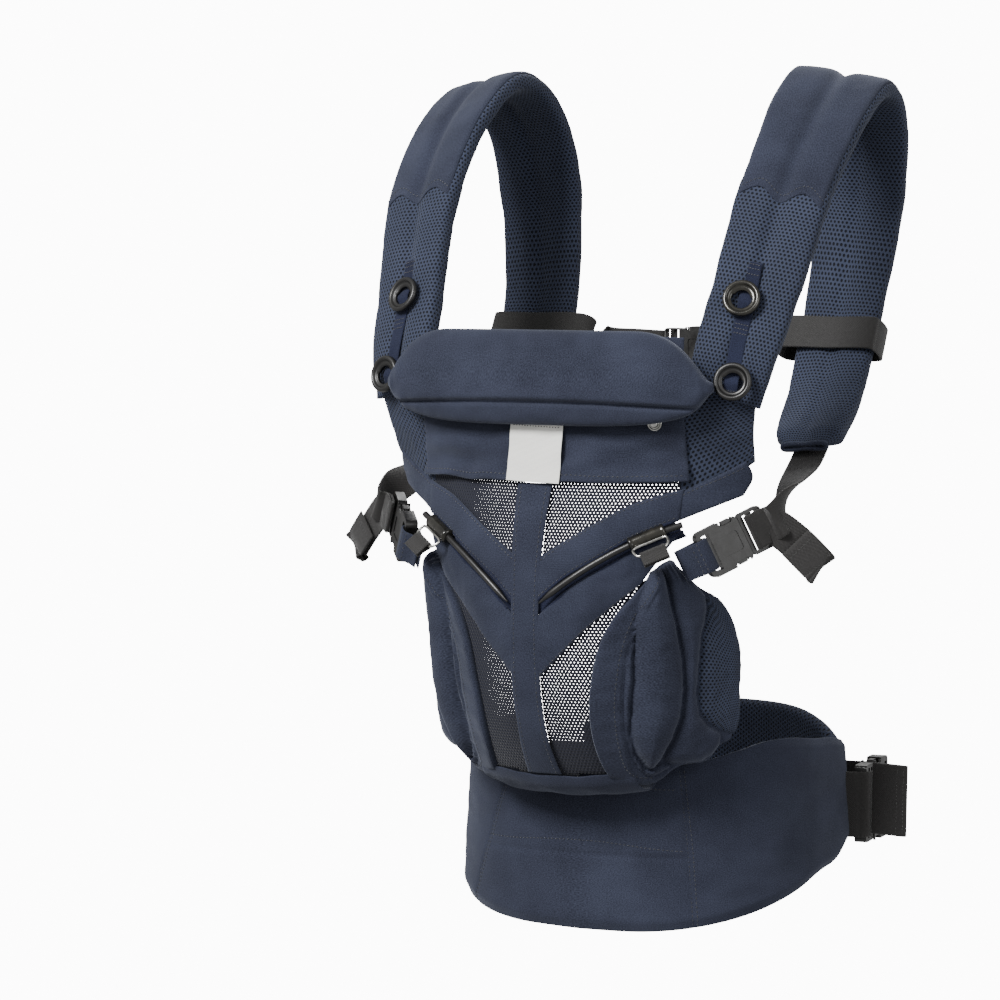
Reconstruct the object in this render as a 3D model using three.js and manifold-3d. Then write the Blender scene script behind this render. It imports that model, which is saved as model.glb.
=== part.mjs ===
// A soft baby carrier, as worn: a contoured front panel that hangs from two padded shoulder
// straps and a wide waist belt, with a slider on a curved rail at each hip that sets the seat's
// width. Millimetres. +Z is up, the carrier's outer face looks along -Y, and the origin is the
// centre of the waist loop, level with the belt's lower edge. The body is mirrored about X = 0.
import * as THREE from "three";
import { mergeVertices } from "three/addons/utils/BufferGeometryUtils.js";
import Module from "manifold-3d";

const wasm = await Module();
wasm.setup();

// ---- Driving dimensions ----
const clothThickness = 2.4;
const clothGap = 0.6;
const webbingThickness = 1.5;

// The front panel's surface: height, how far forward its centre line lies, and its sideways bow.
const panelProfile = [
  [100, -152, 0.004],
  [117, -172, 0.0042],
  [142, -188, 0.0042],
  [172, -198, 0.0042],
  [205, -202, 0.0042],
  [242, -202, 0.004],
  [276, -199, 0.0035],
  [300, -194, 0.0032],
  [325, -187, 0.00275],
  [360, -181, 0.0017],
  [400, -175, 0.001],
  [430, -171, 0.0009],
];

// The waist loop: a rounded rectangle that opens out a little towards its lower edge.
const beltHalfWidth = 140;
const beltHalfDepth = 127;
const beltSquareness = 2.5;
const beltTaperPerHeight = 0.0004;
const beltEndAngle = 99;
const beltPadThickness = 9;
// Angle from the front in degrees, lower edge, upper edge.
const beltEdges = [
  [0, 0, 119],
  [18, 1.5, 119],
  [33, 5.4, 122],
  [50, 12.4, 130],
  [62, 19, 135.5],
  [74, 27, 136],
  [86, 36.5, 133],
  [99, 48, 127],
];

// The back of the waist loop is a circular arc.
const backArcRadius = 195;
const backArcCentreY = -77;
const lumbarHalfAngle = 35;
const lumbarThickness = 13;
const waistWebbingWidth = 50;
const waistWebbingLow = 54;

// Right shoulder strap: station, middle x, y, z, half width, then how much the outer edge falls
// back (y) and drops (z) across the width.
const strapRoute = [
  [0, 129, -155, 381, 26, 0.31, 0],
  [1, 133, -146, 412, 28.5, 0.31, 0],
  [2, 137.5, -129, 448, 30, 0.31, 0],
  [3, 142, -114, 484, 31.5, 0.3, 0],
  [4, 145, -99, 516, 32.5, 0.28, -0.03],
  [5, 147, -74, 550, 34, 0.27, -0.08],
  [6, 147, -43, 581, 36, 0.26, -0.14],
  [7, 145, -7, 601, 36.5, 0.25, -0.17],
  [8, 142, 25, 595, 36, 0.2, -0.15],
  [9, 138, 47, 569, 35.5, 0.08, -0.1],
  [10, 134.5, 55, 534, 35, 0, -0.05],
  [11, 131.5, 55, 500, 33, 0, -0.03],
  [12, 127, 46, 452, 31, 0, 0],
  [13, 126, 32, 415, 30, 0, 0],
  [14, 129, 8, 382, 29, 0, 0],
  [15, 136, -27, 358, 27, 0, 0],
  [16, 140, -50, 345, 22, 0, 0],
];
const strapHemStation = 4.05;
const strapHalfCore = 4.6;
const strapSkin = 2.6;
const strapSurface = strapHalfCore + 1 + strapSkin;

// The rail at each hip is an arc through these three points of the panel's surface.
const railPoints = [
  [12, 240],
  [50, 269],
  [93, 292],
];
const railLift = 5;
const railRadius = 2.6;
const sleeveOuterRadius = 5;
const sleeveInnerRadius = 3.1;
const sleeveLength = 27;

// Side-release buckles: the female half's and the male frame's lengths, and the prongs' play.
const sideBuckle = { width: 34, webbing: 25, thickness: 9, female: 33, male: 18, play: 0.6 };
const waistBuckle = { width: 60, webbing: 50, thickness: 11, female: 36, male: 20, play: 1.7 };
const crossBuckle = { width: 32, webbing: 25, thickness: 8, female: 26, male: 16, play: 0.5 };
const crossStrapHeight = 416;
const crossStation = 12.9;
const crossStrapWidth = 25;

const ringRadius = 13.3;
const ringThickness = 4.6;

// ---- Materials ----
function finish(colour, roughness, metalness = 0) {
  return new THREE.MeshStandardMaterial({ color: colour, roughness, metalness });
}
const twill = finish(0x3a435c, 0.85);
const mesh = finish(0x27314c, 0.9);
const foam = finish(0xd8d4c8, 0.95);
const webbing = finish(0x232224, 0.75);
const plastic = finish(0x1c1b1a, 0.35);
const steel = finish(0xb9b8b4, 0.25, 1);
const labelCloth = finish(0xf1efe9, 0.8);

const carrier = new THREE.Group();
const sides = [
  { name: "left", sign: -1 },
  { name: "right", sign: 1 },
];

// ---- Geometry helpers ----
// A smooth curve through rows of [t, value, ...], with each row's slope set by its neighbours.
function along(rows, t) {
  const last = rows.length - 1;
  const clamped = Math.min(Math.max(t, rows[0][0]), rows[last][0]);
  const i = Math.min(Math.max(rows.findIndex((row) => row[0] > clamped) - 1, 0), last - 1);
  const start = clamped >= rows[last][0] ? last - 1 : i;
  const span = rows[start + 1][0] - rows[start][0];
  const s = (clamped - rows[start][0]) / span;
  const slope = (k, column) => {
    const before = rows[Math.max(k - 1, 0)];
    const after = rows[Math.min(k + 1, last)];
    return ((after[column] - before[column]) / (after[0] - before[0])) * span;
  };
  return rows[start].slice(1).map((value, k) => {
    const column = k + 1;
    const a = value * (1 + 2 * s) * (1 - s) ** 2;
    const b = slope(start, column) * s * (1 - s) ** 2;
    const c = rows[start + 1][column] * s * s * (3 - 2 * s);
    const d = slope(start + 1, column) * s * s * (s - 1);
    return a + b + c + d;
  });
}

function smoothLine(points, share) {
  const rows = points.map((point, i) => [i, ...point]);
  return along(rows, share * (points.length - 1));
}

function signedVolume(geometry) {
  const p = geometry.getAttribute("position");
  const index = geometry.index.array;
  const [a, b, c] = [new THREE.Vector3(), new THREE.Vector3(), new THREE.Vector3()];
  let volume = 0;
  for (let i = 0; i < index.length; i += 3) {
    a.fromBufferAttribute(p, index[i]);
    b.fromBufferAttribute(p, index[i + 1]);
    c.fromBufferAttribute(p, index[i + 2]);
    volume += a.dot(b.cross(c)) / 6;
  }
  return volume;
}

// A closed slab between two sheets of points: front(t, s) and back(t, s), each from 0 to 1.
function slabGeometry(front, back, stepsT, stepsS) {
  const positions = [];
  const row = stepsS + 1;
  const sheet = row * (stepsT + 1);
  for (const face of [front, back]) {
    for (let i = 0; i <= stepsT; i++) {
      for (let j = 0; j <= stepsS; j++) {
        positions.push(...face(i / stepsT, j / stepsS).toArray());
      }
    }
  }
  const index = [];
  const quad = (a, b, c, d) => index.push(a, b, c, a, c, d);
  for (let i = 0; i < stepsT; i++) {
    for (let j = 0; j < stepsS; j++) {
      const k = i * row + j;
      quad(k, k + 1, k + row + 1, k + row);
      quad(sheet + k, sheet + k + row, sheet + k + row + 1, sheet + k + 1);
    }
    const left = i * row;
    const right = left + stepsS;
    quad(left, left + row, sheet + left + row, sheet + left);
    quad(right, sheet + right, sheet + right + row, right + row);
  }
  for (let j = 0; j < stepsS; j++) {
    const far = stepsT * row + j;
    quad(j, sheet + j, sheet + j + 1, j + 1);
    quad(far, far + 1, sheet + far + 1, sheet + far);
  }
  const geometry = new THREE.BufferGeometry();
  geometry.setAttribute("position", new THREE.Float32BufferAttribute(positions, 3));
  geometry.setIndex(index);
  if (signedVolume(geometry) < 0) {
    for (let i = 0; i < index.length; i += 3) {
      [index[i + 1], index[i + 2]] = [index[i + 2], index[i + 1]];
    }
    geometry.setIndex(index);
  }
  geometry.computeVertexNormals();
  return geometry;
}

// The same slab mirrored to the left side when sign is -1.
function mirrored(face, sign) {
  return (t, s) => {
    const point = face(t, s);
    point.x *= sign;
    return point;
  };
}

function add(name, geometry, material, matrix) {
  const piece = new THREE.Mesh(geometry, material);
  piece.name = name;
  if (matrix) {
    piece.applyMatrix4(matrix);
  }
  carrier.add(piece);
  return piece;
}

function addSlab(name, front, back, steps, material, sign = 1) {
  const geometry = slabGeometry(mirrored(front, sign), mirrored(back, sign), steps[0], steps[1]);
  return add(name, geometry, material);
}

// A flat band of webbing along a list of points, each with the direction of its width.
function addBand(name, points, widths, bandWidth, thickness, steps, material, sign = 1) {
  const centre = (t) => new THREE.Vector3(...smoothLine(points, t));
  const face = (lift) => (t, s) => {
    const here = centre(t);
    const step = 0.004;
    const tangent = centre(Math.min(t + step, 1)).sub(centre(Math.max(t - step, 0))).normalize();
    const across = new THREE.Vector3(...smoothLine(widths, t));
    across.addScaledVector(tangent, -across.dot(tangent)).normalize();
    const normal = new THREE.Vector3().crossVectors(across, tangent);
    return here.addScaledVector(across, (s - 0.5) * bandWidth).addScaledVector(normal, lift);
  };
  return addSlab(name, face(thickness / 2), face(-thickness / 2), [steps, 1], material, sign);
}

// ---- Solid helpers ----
function solidOf(geometry) {
  const bare = new THREE.BufferGeometry();
  const flat = geometry.index ? geometry.toNonIndexed() : geometry;
  bare.setAttribute("position", flat.getAttribute("position"));
  const merged = mergeVertices(bare, 1e-4);
  return new wasm.Manifold(
    new wasm.Mesh({
      numProp: 3,
      vertProperties: merged.getAttribute("position").array,
      triVerts: new Uint32Array(merged.index.array),
    }),
  );
}

function geometryOf(solid) {
  const made = solid.getMesh();
  const geometry = new THREE.BufferGeometry();
  geometry.setAttribute("position", new THREE.BufferAttribute(made.vertProperties, 3));
  geometry.setIndex(new THREE.BufferAttribute(made.triVerts, 1));
  return geometry;
}

function cut(geometry, tools) {
  return geometryOf(tools.reduce((solid, tool) => solid.subtract(solidOf(tool)), solidOf(geometry)));
}

function join(geometries) {
  const solids = geometries.map(solidOf);
  return geometryOf(solids.slice(1).reduce((all, one) => all.add(one), solids[0]));
}

function box(u0, u1, v0, v1, n0, n1) {
  const geometry = new THREE.BoxGeometry(u1 - u0, v1 - v0, n1 - n0);
  return geometry.translate((u0 + u1) / 2, (v0 + v1) / 2, (n0 + n1) / 2);
}

function roundedPlate(u0, u1, v0, v1, radius, thickness, bevel) {
  const shape = new THREE.Shape();
  shape.moveTo(u0 + radius, v0);
  shape.lineTo(u1 - radius, v0);
  shape.quadraticCurveTo(u1, v0, u1, v0 + radius);
  shape.lineTo(u1, v1 - radius);
  shape.quadraticCurveTo(u1, v1, u1 - radius, v1);
  shape.lineTo(u0 + radius, v1);
  shape.quadraticCurveTo(u0, v1, u0, v1 - radius);
  shape.lineTo(u0, v0 + radius);
  shape.quadraticCurveTo(u0, v0, u0 + radius, v0);
  const geometry = new THREE.ExtrudeGeometry(shape, {
    depth: thickness - 2 * bevel,
    bevelEnabled: true,
    bevelThickness: bevel,
    bevelSize: bevel,
    bevelOffset: -bevel,
    bevelSegments: 1,
    curveSegments: 3,
  });
  return geometry.translate(0, 0, bevel - thickness / 2);
}

function frameMatrix(origin, along3, normal3, sign) {
  const u = along3.clone().normalize();
  const n = normal3.clone().addScaledVector(u, -normal3.dot(u)).normalize();
  const v = new THREE.Vector3().crossVectors(n, u);
  const matrix = new THREE.Matrix4().makeBasis(u, v, n).setPosition(origin);
  return sign < 0 ? new THREE.Matrix4().makeScale(-1, 1, 1).multiply(matrix) : matrix;
}

// Bakes the placing into the vertices, so that a mirrored piece keeps its faces outwards.
function addPlaced(name, geometry, material, matrix) {
  const solid = solidOf(geometry).transform(matrix.toArray());
  return add(name, geometryOf(solid), material);
}

// ---- Surfaces ----
function panelPoint(x, z, lift) {
  const depth = (atX, atZ) => {
    const [centre, bow] = along(panelProfile, atZ);
    return centre + bow * atX * atX;
  };
  const step = 0.5;
  const slopeX = (depth(x + step, z) - depth(x - step, z)) / (2 * step);
  const slopeZ = (depth(x, z + step) - depth(x, z - step)) / (2 * step);
  const normal = new THREE.Vector3(slopeX, -1, slopeZ).normalize();
  return new THREE.Vector3(x, depth(x, z), z).addScaledVector(normal, lift);
}

// A cloth patch on the panel between two edges, each a list of [x, z] points.
function addPatch(name, edgeA, edgeB, lifts, steps, material, sign = 1) {
  const face = (lift) => (t, s) => {
    const [ax, az] = smoothLine(edgeA, t);
    const [bx, bz] = smoothLine(edgeB, t);
    return panelPoint(ax + (bx - ax) * s, az + (bz - az) * s, lift);
  };
  return addSlab(name, face(lifts[1]), face(lifts[0]), steps, material, sign);
}

function beltPoint(angle, z, lift) {
  const turn = THREE.MathUtils.degToRad(angle);
  const taper = 1 - beltTaperPerHeight * z;
  const at = (reach) => {
    const power = 2 / beltSquareness;
    const sine = Math.sign(Math.sin(turn)) * Math.abs(Math.sin(turn)) ** power;
    const cosine = Math.sign(Math.cos(turn)) * Math.abs(Math.cos(turn)) ** power;
    const x = (beltHalfWidth * taper + reach) * sine;
    return new THREE.Vector3(x, -(beltHalfDepth * taper + reach) * cosine, z);
  };
  return at(lift);
}

function strapFrame(station) {
  const centre = (at) => new THREE.Vector3(...along(strapRoute, at).slice(0, 3));
  const [, , , halfWidth, fallBack, drop] = along(strapRoute, station);
  const step = 0.02;
  const last = strapRoute.length - 1;
  const ahead = centre(Math.min(station + step, last));
  const tangent = ahead.sub(centre(Math.max(station - step, 0))).normalize();
  const across = new THREE.Vector3(1, fallBack, drop);
  across.addScaledVector(tangent, -across.dot(tangent)).normalize();
  const normal = new THREE.Vector3().crossVectors(across, tangent);
  return { centre: centre(station), tangent, across, normal, halfWidth };
}

function strapPoint(station, share, lift, narrower = 0) {
  const { centre, across, normal, halfWidth } = strapFrame(station);
  const reach = (2 * share - 1) * (halfWidth - narrower);
  return centre.addScaledVector(across, reach).addScaledVector(normal, lift);
}

function backArcPoint(angle, z, lift) {
  const turn = THREE.MathUtils.degToRad(angle);
  const radius = backArcRadius + lift;
  return new THREE.Vector3(radius * Math.sin(turn), backArcCentreY + radius * Math.cos(turn), z);
}

// ---- Front panel ----
const clothBack = 0;
const meshFront = -clothGap;
const meshBack = meshFront - 1.4;
const upperWindowLower = [
  [11.5, 273],
  [38, 290],
  [70, 309],
  [101, 320],
];
const railLine = [
  [12, 238],
  [30, 254],
  [50, 267],
  [72, 281],
  [99, 294],
];
const lowerWindowTop = [
  [12, 190],
  [42, 221],
  [62, 240],
  [77, 254],
];
const lowerWindowOuter = [
  [76, 252],
  [62, 230],
  [52, 207],
  [46, 180],
  [44, 150],
  [45, 119],
];

function shifted(edge, dx, dz) {
  return edge.map(([x, z]) => [x + dx, z + dz]);
}

function addCentreStrip() {
  const outer = [
    [13.5, 322],
    [11.5, 272],
    [10.6, 236],
    [11, 190],
    [11, 150],
    [13, 119],
  ];
  const inner = outer.map(([x, z]) => [-x, z]);
  addPatch("centre_strip", inner, outer, [clothBack, clothThickness], [14, 2], twill);
}

function addPanelSide({ name, sign }) {
  const cloth = [clothBack, clothThickness];
  const airMesh = [meshBack, meshFront];
  const topEdge = [
    [10, 329],
    [38, 329],
    [70, 329],
    [99, 329],
  ];
  addPatch(`window_upper_${name}`, shifted(upperWindowLower, 1, -3), topEdge, airMesh, [6, 3], mesh, sign);
  const bandTop = shifted(upperWindowLower, 1.5, 0);
  addPatch(`rail_band_${name}`, shifted(railLine, 0.8, 8), bandTop, cloth, [8, 2], twill, sign);
  const hipTop = shifted(railLine, 3.4, -4.8);
  addPatch(`hip_band_${name}`, lowerWindowTop, hipTop, cloth, [8, 3], twill, sign);
  const inner = [
    [9, 188],
    [9, 176],
    [9, 164],
    [9, 150],
    [9, 135],
    [10, 119],
  ];
  addPatch(`window_lower_${name}`, inner, shifted(lowerWindowOuter, 2, 1), airMesh, [8, 3], mesh, sign);
}

function addYoke() {
  const bottom = [
    [-104, 325],
    [-52, 324],
    [0, 323.5],
    [52, 324],
    [104, 325],
  ];
  const top = [
    [-100, 424],
    [-50, 425],
    [0, 425],
    [50, 425],
    [100, 424],
  ];
  addPatch("yoke", bottom, top, [clothBack + 0.2, 3], [10, 4], twill);
  const labelHeight = [322, 361];
  const edge = (z) => [
    [-24, z],
    [-3, z],
    [18, z],
  ];
  addPatch("label", edge(labelHeight[0]), edge(labelHeight[1]), [3.5, 4.3], [3, 3], labelCloth);
}

function addHoodSnap() {
  const place = panelPoint(84, 365, 3.4);
  const profile = [
    [0, 0],
    [5, 0],
    [5, 1.2],
    [3.2, 2.2],
    [2.6, 3.6],
    [0, 3.8],
  ].map(([r, y]) => new THREE.Vector2(r, y));
  const button = new THREE.LatheGeometry(profile, 14).rotateX(Math.PI / 2);
  const outward = place.clone().sub(panelPoint(84, 365, 0)).normalize();
  addPlaced("hood_snap", button, steel, frameMatrix(place, new THREE.Vector3(1, 0.3, 0), outward, 1));
}

function addSideMesh({ name, sign }) {
  const innerEdge = [
    [110.5, 371],
    [108, 352],
    [106.5, 322],
  ];
  const outerEdge = [
    [155, 371],
    [150, 350],
    [145, 322],
  ];
  const airMesh = [-1.6, 0.8];
  addPatch(`side_mesh_${name}`, innerEdge, outerEdge, airMesh, [4, 3], mesh, sign);
  const patchInner = [
    [106, 321],
    [105, 308],
    [100, 296],
  ];
  const patchOuter = [
    [145, 321],
    [138, 308],
    [121, 296],
  ];
  addPatch(`corner_patch_${name}`, patchInner, patchOuter, [-1.6, 1.2], [4, 3], twill, sign);
}

// The seat's floor rolls under the panel and back to the belt.
function addSeatBase() {
  const section = [
    [-174, 115, 0.0042],
    [-168, 106, 0.004],
    [-156, 101, 0.0036],
    [-144, 101, 0.003],
    [-134, 105, 0.0022],
  ];
  const face = (lift) => (t, s) => {
    const [y, z, bow] = smoothLine(section, t);
    const x = (2 * s - 1) * 43;
    const rise = 0.0012 * x * x;
    return new THREE.Vector3(x, y + bow * x * x - lift * (1 - t), z + rise - lift * t);
  };
  addSlab("seat_base", face(1.2), face(-1.2), [6, 6], twill);
}

// A padded leg wing: a puffed shell from the lower window's edge round to the side.
const wingLevels = [
  // height, front edge x, turning x, rear end x and y
  [104, 56, 92, 96, -124],
  [112, 50, 106, 108, -120],
  [130, 47.5, 118, 117, -117],
  [155, 47.5, 125, 123, -115],
  [180, 50, 127, 125, -115],
  [205, 56, 127, 125, -116],
  [228, 66, 124, 121, -121],
  [245, 77, 118, 115, -133],
  [257, 84, 110, 108, -147],
];

function wingPoint(level, share, lift) {
  const [frontX, turnX, rearX, rearY] = along(wingLevels, level);
  const front = panelPoint(frontX, level, 0);
  const turn = panelPoint(turnX, level, 0);
  const rear = new THREE.Vector3(rearX, rearY, level);
  const curve = new THREE.QuadraticBezierCurve3(front, turn, rear);
  const tangent = curve.getTangent(share);
  const outward = new THREE.Vector3(tangent.y, -tangent.x, 0).normalize();
  return curve.getPoint(share).addScaledVector(outward, lift);
}

function addWing({ name, sign }) {
  const low = wingLevels[0][0];
  const high = wingLevels[wingLevels.length - 1][0];
  const face = (outer) => (t, s) => {
    const crown = Math.sqrt(Math.max(Math.sin(Math.PI * s), 0)) * Math.sin(Math.PI * (0.1 + 0.8 * t));
    const lift = outer ? 1.5 + 8 * crown : -1 - 5 * crown;
    return wingPoint(low + (high - low) * t, s, lift);
  };
  addSlab(`wing_${name}`, face(true), face(false), [10, 6], twill, sign);
}

// ---- Rails and sliders ----
function railArc() {
  const [a, b, c] = railPoints.map(([x, z]) => panelPoint(x, z, railLift));
  const ab = b.clone().sub(a);
  const ac = c.clone().sub(a);
  const axis = new THREE.Vector3().crossVectors(ab, ac);
  const toCentre = new THREE.Vector3()
    .crossVectors(axis, ab)
    .multiplyScalar(ac.lengthSq())
    .add(new THREE.Vector3().crossVectors(ac, axis).multiplyScalar(ab.lengthSq()))
    .divideScalar(2 * axis.lengthSq());
  const centre = a.clone().add(toCentre);
  axis.normalize();
  const start = a.clone().sub(centre);
  const end = c.clone().sub(centre);
  return { centre, axis, start, sweep: start.angleTo(end), radius: start.length() };
}

const rail = railArc();
const slideStart = rail.sweep - (sleeveLength * 0.6) / rail.radius;

// Point at an angle along the rail, with its outward direction and its tangent.
function railFrame(angle) {
  const outward = rail.start.clone().applyAxisAngle(rail.axis, angle).normalize();
  const tangent = new THREE.Vector3().crossVectors(rail.axis, outward);
  const point = rail.centre.clone().addScaledVector(outward, rail.radius);
  return { point, outward, tangent };
}

function railTube(from, to, radiusAt, steps, sidesAround) {
  const positions = [];
  const index = [];
  for (let i = 0; i <= steps; i++) {
    const { point, outward } = railFrame(from + ((to - from) * i) / steps);
    for (let j = 0; j < sidesAround; j++) {
      const turn = (2 * Math.PI * j) / sidesAround;
      const radius = radiusAt(i / steps);
      const ring = point.clone().addScaledVector(outward, radius * Math.cos(turn));
      positions.push(...ring.addScaledVector(rail.axis, radius * Math.sin(turn)).toArray());
      const next = (j + 1) % sidesAround;
      if (i < steps) {
        const row = i * sidesAround;
        const up = row + sidesAround;
        index.push(row + j, row + next, up + next, row + j, up + next, up + j);
      }
    }
  }
  const far = steps * sidesAround;
  for (let j = 1; j < sidesAround - 1; j++) {
    index.push(0, j + 1, j, far, far + j, far + j + 1);
  }
  const geometry = new THREE.BufferGeometry();
  geometry.setAttribute("position", new THREE.Float32BufferAttribute(positions, 3));
  geometry.setIndex(index);
  if (signedVolume(geometry) < 0) {
    for (let i = 0; i < index.length; i += 3) {
      [index[i + 1], index[i + 2]] = [index[i + 2], index[i + 1]];
    }
    geometry.setIndex(index);
  }
  return geometry;
}

function mirrorMatrix(sign) {
  return new THREE.Matrix4().makeScale(sign, 1, 1);
}

function addRailSet({ name, sign }) {
  const tip = (t) => railRadius * Math.min(1, 0.35 + 8 * t);
  const rod = railTube(0, rail.sweep + 0.05, tip, 14, 8);
  const bed = (from, to, width, lift) => (t, s) => {
    const [x, z] = smoothLine(railLine, from + (to - from) * t);
    const across = (s - 0.5) * width;
    return panelPoint(x - 0.6 * across, z + 0.8 * across, lift);
  };
  const tape = slabGeometry(bed(0, 1, 14, -1.4), bed(0, 1, 14, -2.6), 8, 1);
  const post = (from, to) => slabGeometry(bed(from, to, 3, railLift), bed(from, to, 3, -1.6), 1, 1);
  const posts = [post(0.01, 0.05), post(0.96, 0.99)];
  addPlaced(`rail_${name}`, join([rod, tape, ...posts]), plastic, mirrorMatrix(sign));

  const half = sleeveLength / 2 / rail.radius;
  const outer = railTube(slideStart - half, slideStart + half, () => sleeveOuterRadius, 4, 10);
  const bore = railTube(slideStart - half * 1.2, slideStart + half * 1.2, () => sleeveInnerRadius, 4, 10);
  addPlaced(`slider_${name}`, cut(outer, [bore]), plastic, mirrorMatrix(sign));

  const { point, outward, tangent } = railFrame(slideStart);
  const down = new THREE.Vector3().crossVectors(tangent, outward).normalize();
  const fall = down.z < 0 ? down : down.negate();
  const hang = point.clone().addScaledVector(fall, sleeveOuterRadius + 0.6);
  const wire = new THREE.CurvePath();
  const corner = (u, w) =>
    hang.clone().addScaledVector(tangent, u).addScaledVector(fall, w).addScaledVector(outward, 1);
  const loop = [corner(-13, 1.4), corner(-12, 9), corner(0, 10.5), corner(12, 9), corner(13, 1.4)];
  wire.add(new THREE.CatmullRomCurve3([...loop, corner(0, 0.8)], true, "catmullrom", 0.35));
  const section = new THREE.Shape().absarc(0, 0, 1.2, 0, 2 * Math.PI);
  const ring = new THREE.ExtrudeGeometry(section, {
    steps: 22,
    bevelEnabled: false,
    curveSegments: 3,
    extrudePath: wire.curves[0],
  });
  addPlaced(`slider_ring_${name}`, ring, steel, mirrorMatrix(sign));

  // A webbing loop round the ring's lower bar, down to the wing's top.
  const at = (w, o) =>
    hang.clone().addScaledVector(fall, w).addScaledVector(outward, o).toArray();
  const route = [at(16, 0.2), at(13, -0.2), at(9.8, -0.9), at(7.2, 1), at(9.8, 3), at(13, 2.7), at(16, 2.3)];
  const widths = route.map(() => tangent.toArray());
  addBand(`wing_loop_${name}`, route, widths, 19, 1.2, 14, webbing, sign);
}

// ---- Buckles ----
function femaleHalf({ width, webbing: slotWidth, thickness, female }) {
  const half = width / 2;
  const body = roundedPlate(0, female, -half, half, 4, thickness, 1.2);
  const slot = box(3.8, 9.5, -slotWidth / 2 - 0.8, slotWidth / 2 + 0.8, -thickness, thickness);
  const mouth = thickness / 2 - 1.7;
  const socket = box(13, female + 1, -half + 3.2, half - 3.2, -mouth, mouth);
  const openSides = box(18, female + 1, -half - 1, half + 1, -mouth, mouth);
  return cut(body, [slot, socket, openSides]);
}

function maleHalf({ width, webbing: slotWidth, thickness, female, male, play }) {
  const half = width / 2;
  const plate = thickness / 2 - 1.7 - play;
  const start = female + 0.5;
  const frame = roundedPlate(start, start + male, -half + 1.5, half - 1.5, 3, thickness - 2, 1);
  const inner = slotWidth / 2 + 0.8;
  const slots = [box(start + 3.5, start + 7.5, -inner, inner, -thickness, thickness)];
  slots.push(box(start + 10.5, start + 14.5, -inner, inner, -thickness, thickness));
  const pieces = [cut(frame, slots)];
  pieces.push(box(16, start + 1, -2, 2, -plate, plate));
  for (const edge of [-1, 1]) {
    const arm = [edge * (half - 8.5), edge * (half - 5)].sort((a, b) => a - b);
    const button = [edge * (half - 8.5), edge * (half - 0.4)].sort((a, b) => a - b);
    pieces.push(box(19, start + 1, arm[0], arm[1], -plate, plate));
    pieces.push(box(18.6, 18.6 + (female - 18) * 0.55, button[0], button[1], -plate, plate));
  }
  return join(pieces);
}

function sideBuckleFrame(sign) {
  const origin = panelPoint(111, 274, 11.5);
  const direction = new THREE.Vector3(0.62, 0.66, 0.42);
  const outward = new THREE.Vector3(0.66, -0.75, 0.07);
  return frameMatrix(origin, direction, outward, sign);
}

function addSideBuckle({ name, sign }) {
  const matrix = sideBuckleFrame(sign);
  addPlaced(`side_buckle_female_${name}`, femaleHalf(sideBuckle), plastic, matrix);
  addPlaced(`side_buckle_male_${name}`, maleHalf(sideBuckle), plastic, matrix);

  const local = sideBuckleFrame(1);
  const at = (u, v, n) => new THREE.Vector3(u, v, n).applyMatrix4(local).toArray();
  const across = new THREE.Vector3().setFromMatrixColumn(local, 1).toArray();
  const tab = [
    at(-15, 0, -6.4),
    at(-4, 0, -6.3),
    at(3, 0, -6),
    at(6.5, 0, -3),
    at(6.7, 0, 3),
    at(3, 0, 6),
    at(-3, 0, 5.2),
    at(-9, 0, -1),
    at(-14, 0, -4),
  ];
  const widths = tab.map(() => across);
  addBand(`buckle_tab_${name}`, tab, widths, 23, 1.3, 18, twill, sign);

  // The strap's webbing: from the strap's end to the buckle, folded back as a loose tail.
  const end = strapFrame(strapRoute.length - 1);
  const sewn = strapPoint(strapRoute.length - 1.7, 0.5, strapSurface + 1.4);
  const leaving = end.centre.clone().addScaledVector(end.normal, strapSurface + 1.6);
  leaving.addScaledVector(end.tangent, 3);
  const side = [1, 0, 0];
  const twist = [0.75, 0.1, 0.4];
  const tailAcross = [0.5, 0.3, 0.75];
  const route = [
    sewn.toArray(),
    leaving.toArray(),
    [152, -96, 320],
    at(59, 2, 12),
    at(50, 0, 5.6),
    at(41, 0, 5.4),
    at(37.5, 0, 6.6),
    at(41, 0, 7.9),
    at(52, -1, 8.6),
    [171, -128, 284],
    [186, -122, 268],
  ];
  const routeWidths = [side, side, twist, across, across, across, across, across, across];
  routeWidths.push(tailAcross, tailAcross);
  addBand(`strap_webbing_${name}`, route, routeWidths, 25, webbingThickness, 60, webbing, sign);
}

// ---- Shoulder straps ----
function addStrap({ name, sign }) {
  const last = strapRoute.length - 1;
  const coverStart = strapHemStation;
  const station = (from, to) => (t) => from + (to - from) * t;

  const coverAt = station(coverStart, last);
  const outer = (t, s) => strapPoint(coverAt(t), s, strapSurface);
  const inner = (t, s) => strapPoint(coverAt(t), s, strapSurface - strapSkin);
  addSlab(`strap_cover_${name}`, outer, inner, [28, 2], twill, sign);

  const foamAt = station(coverStart + 0.4, last - 0.3);
  const foamOuter = (t, s) => strapPoint(foamAt(t), s, strapHalfCore, 4);
  const foamInner = (t, s) => strapPoint(foamAt(t), s, -strapHalfCore, 4);
  addSlab(`strap_foam_${name}`, foamOuter, foamInner, [28, 1], foam, sign);

  // Spacer mesh: a full pad below the cover's hem, and the lining behind the foam above it.
  const hemShare = (coverStart - 0.12) / last;
  const steps = 36;
  const meshAt = (t) => t * last;
  const thickEnd = Math.floor(hemShare * steps) / steps;
  const meshOuter = (t, s) => {
    const lift = t <= thickEnd ? strapSurface : strapSkin - strapSurface;
    return strapPoint(meshAt(t), s, lift);
  };
  const meshInner = (t, s) => strapPoint(meshAt(t), s, -strapSurface);
  addSlab(`strap_lining_${name}`, meshOuter, meshInner, [steps, 2], mesh, sign);
}

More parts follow.
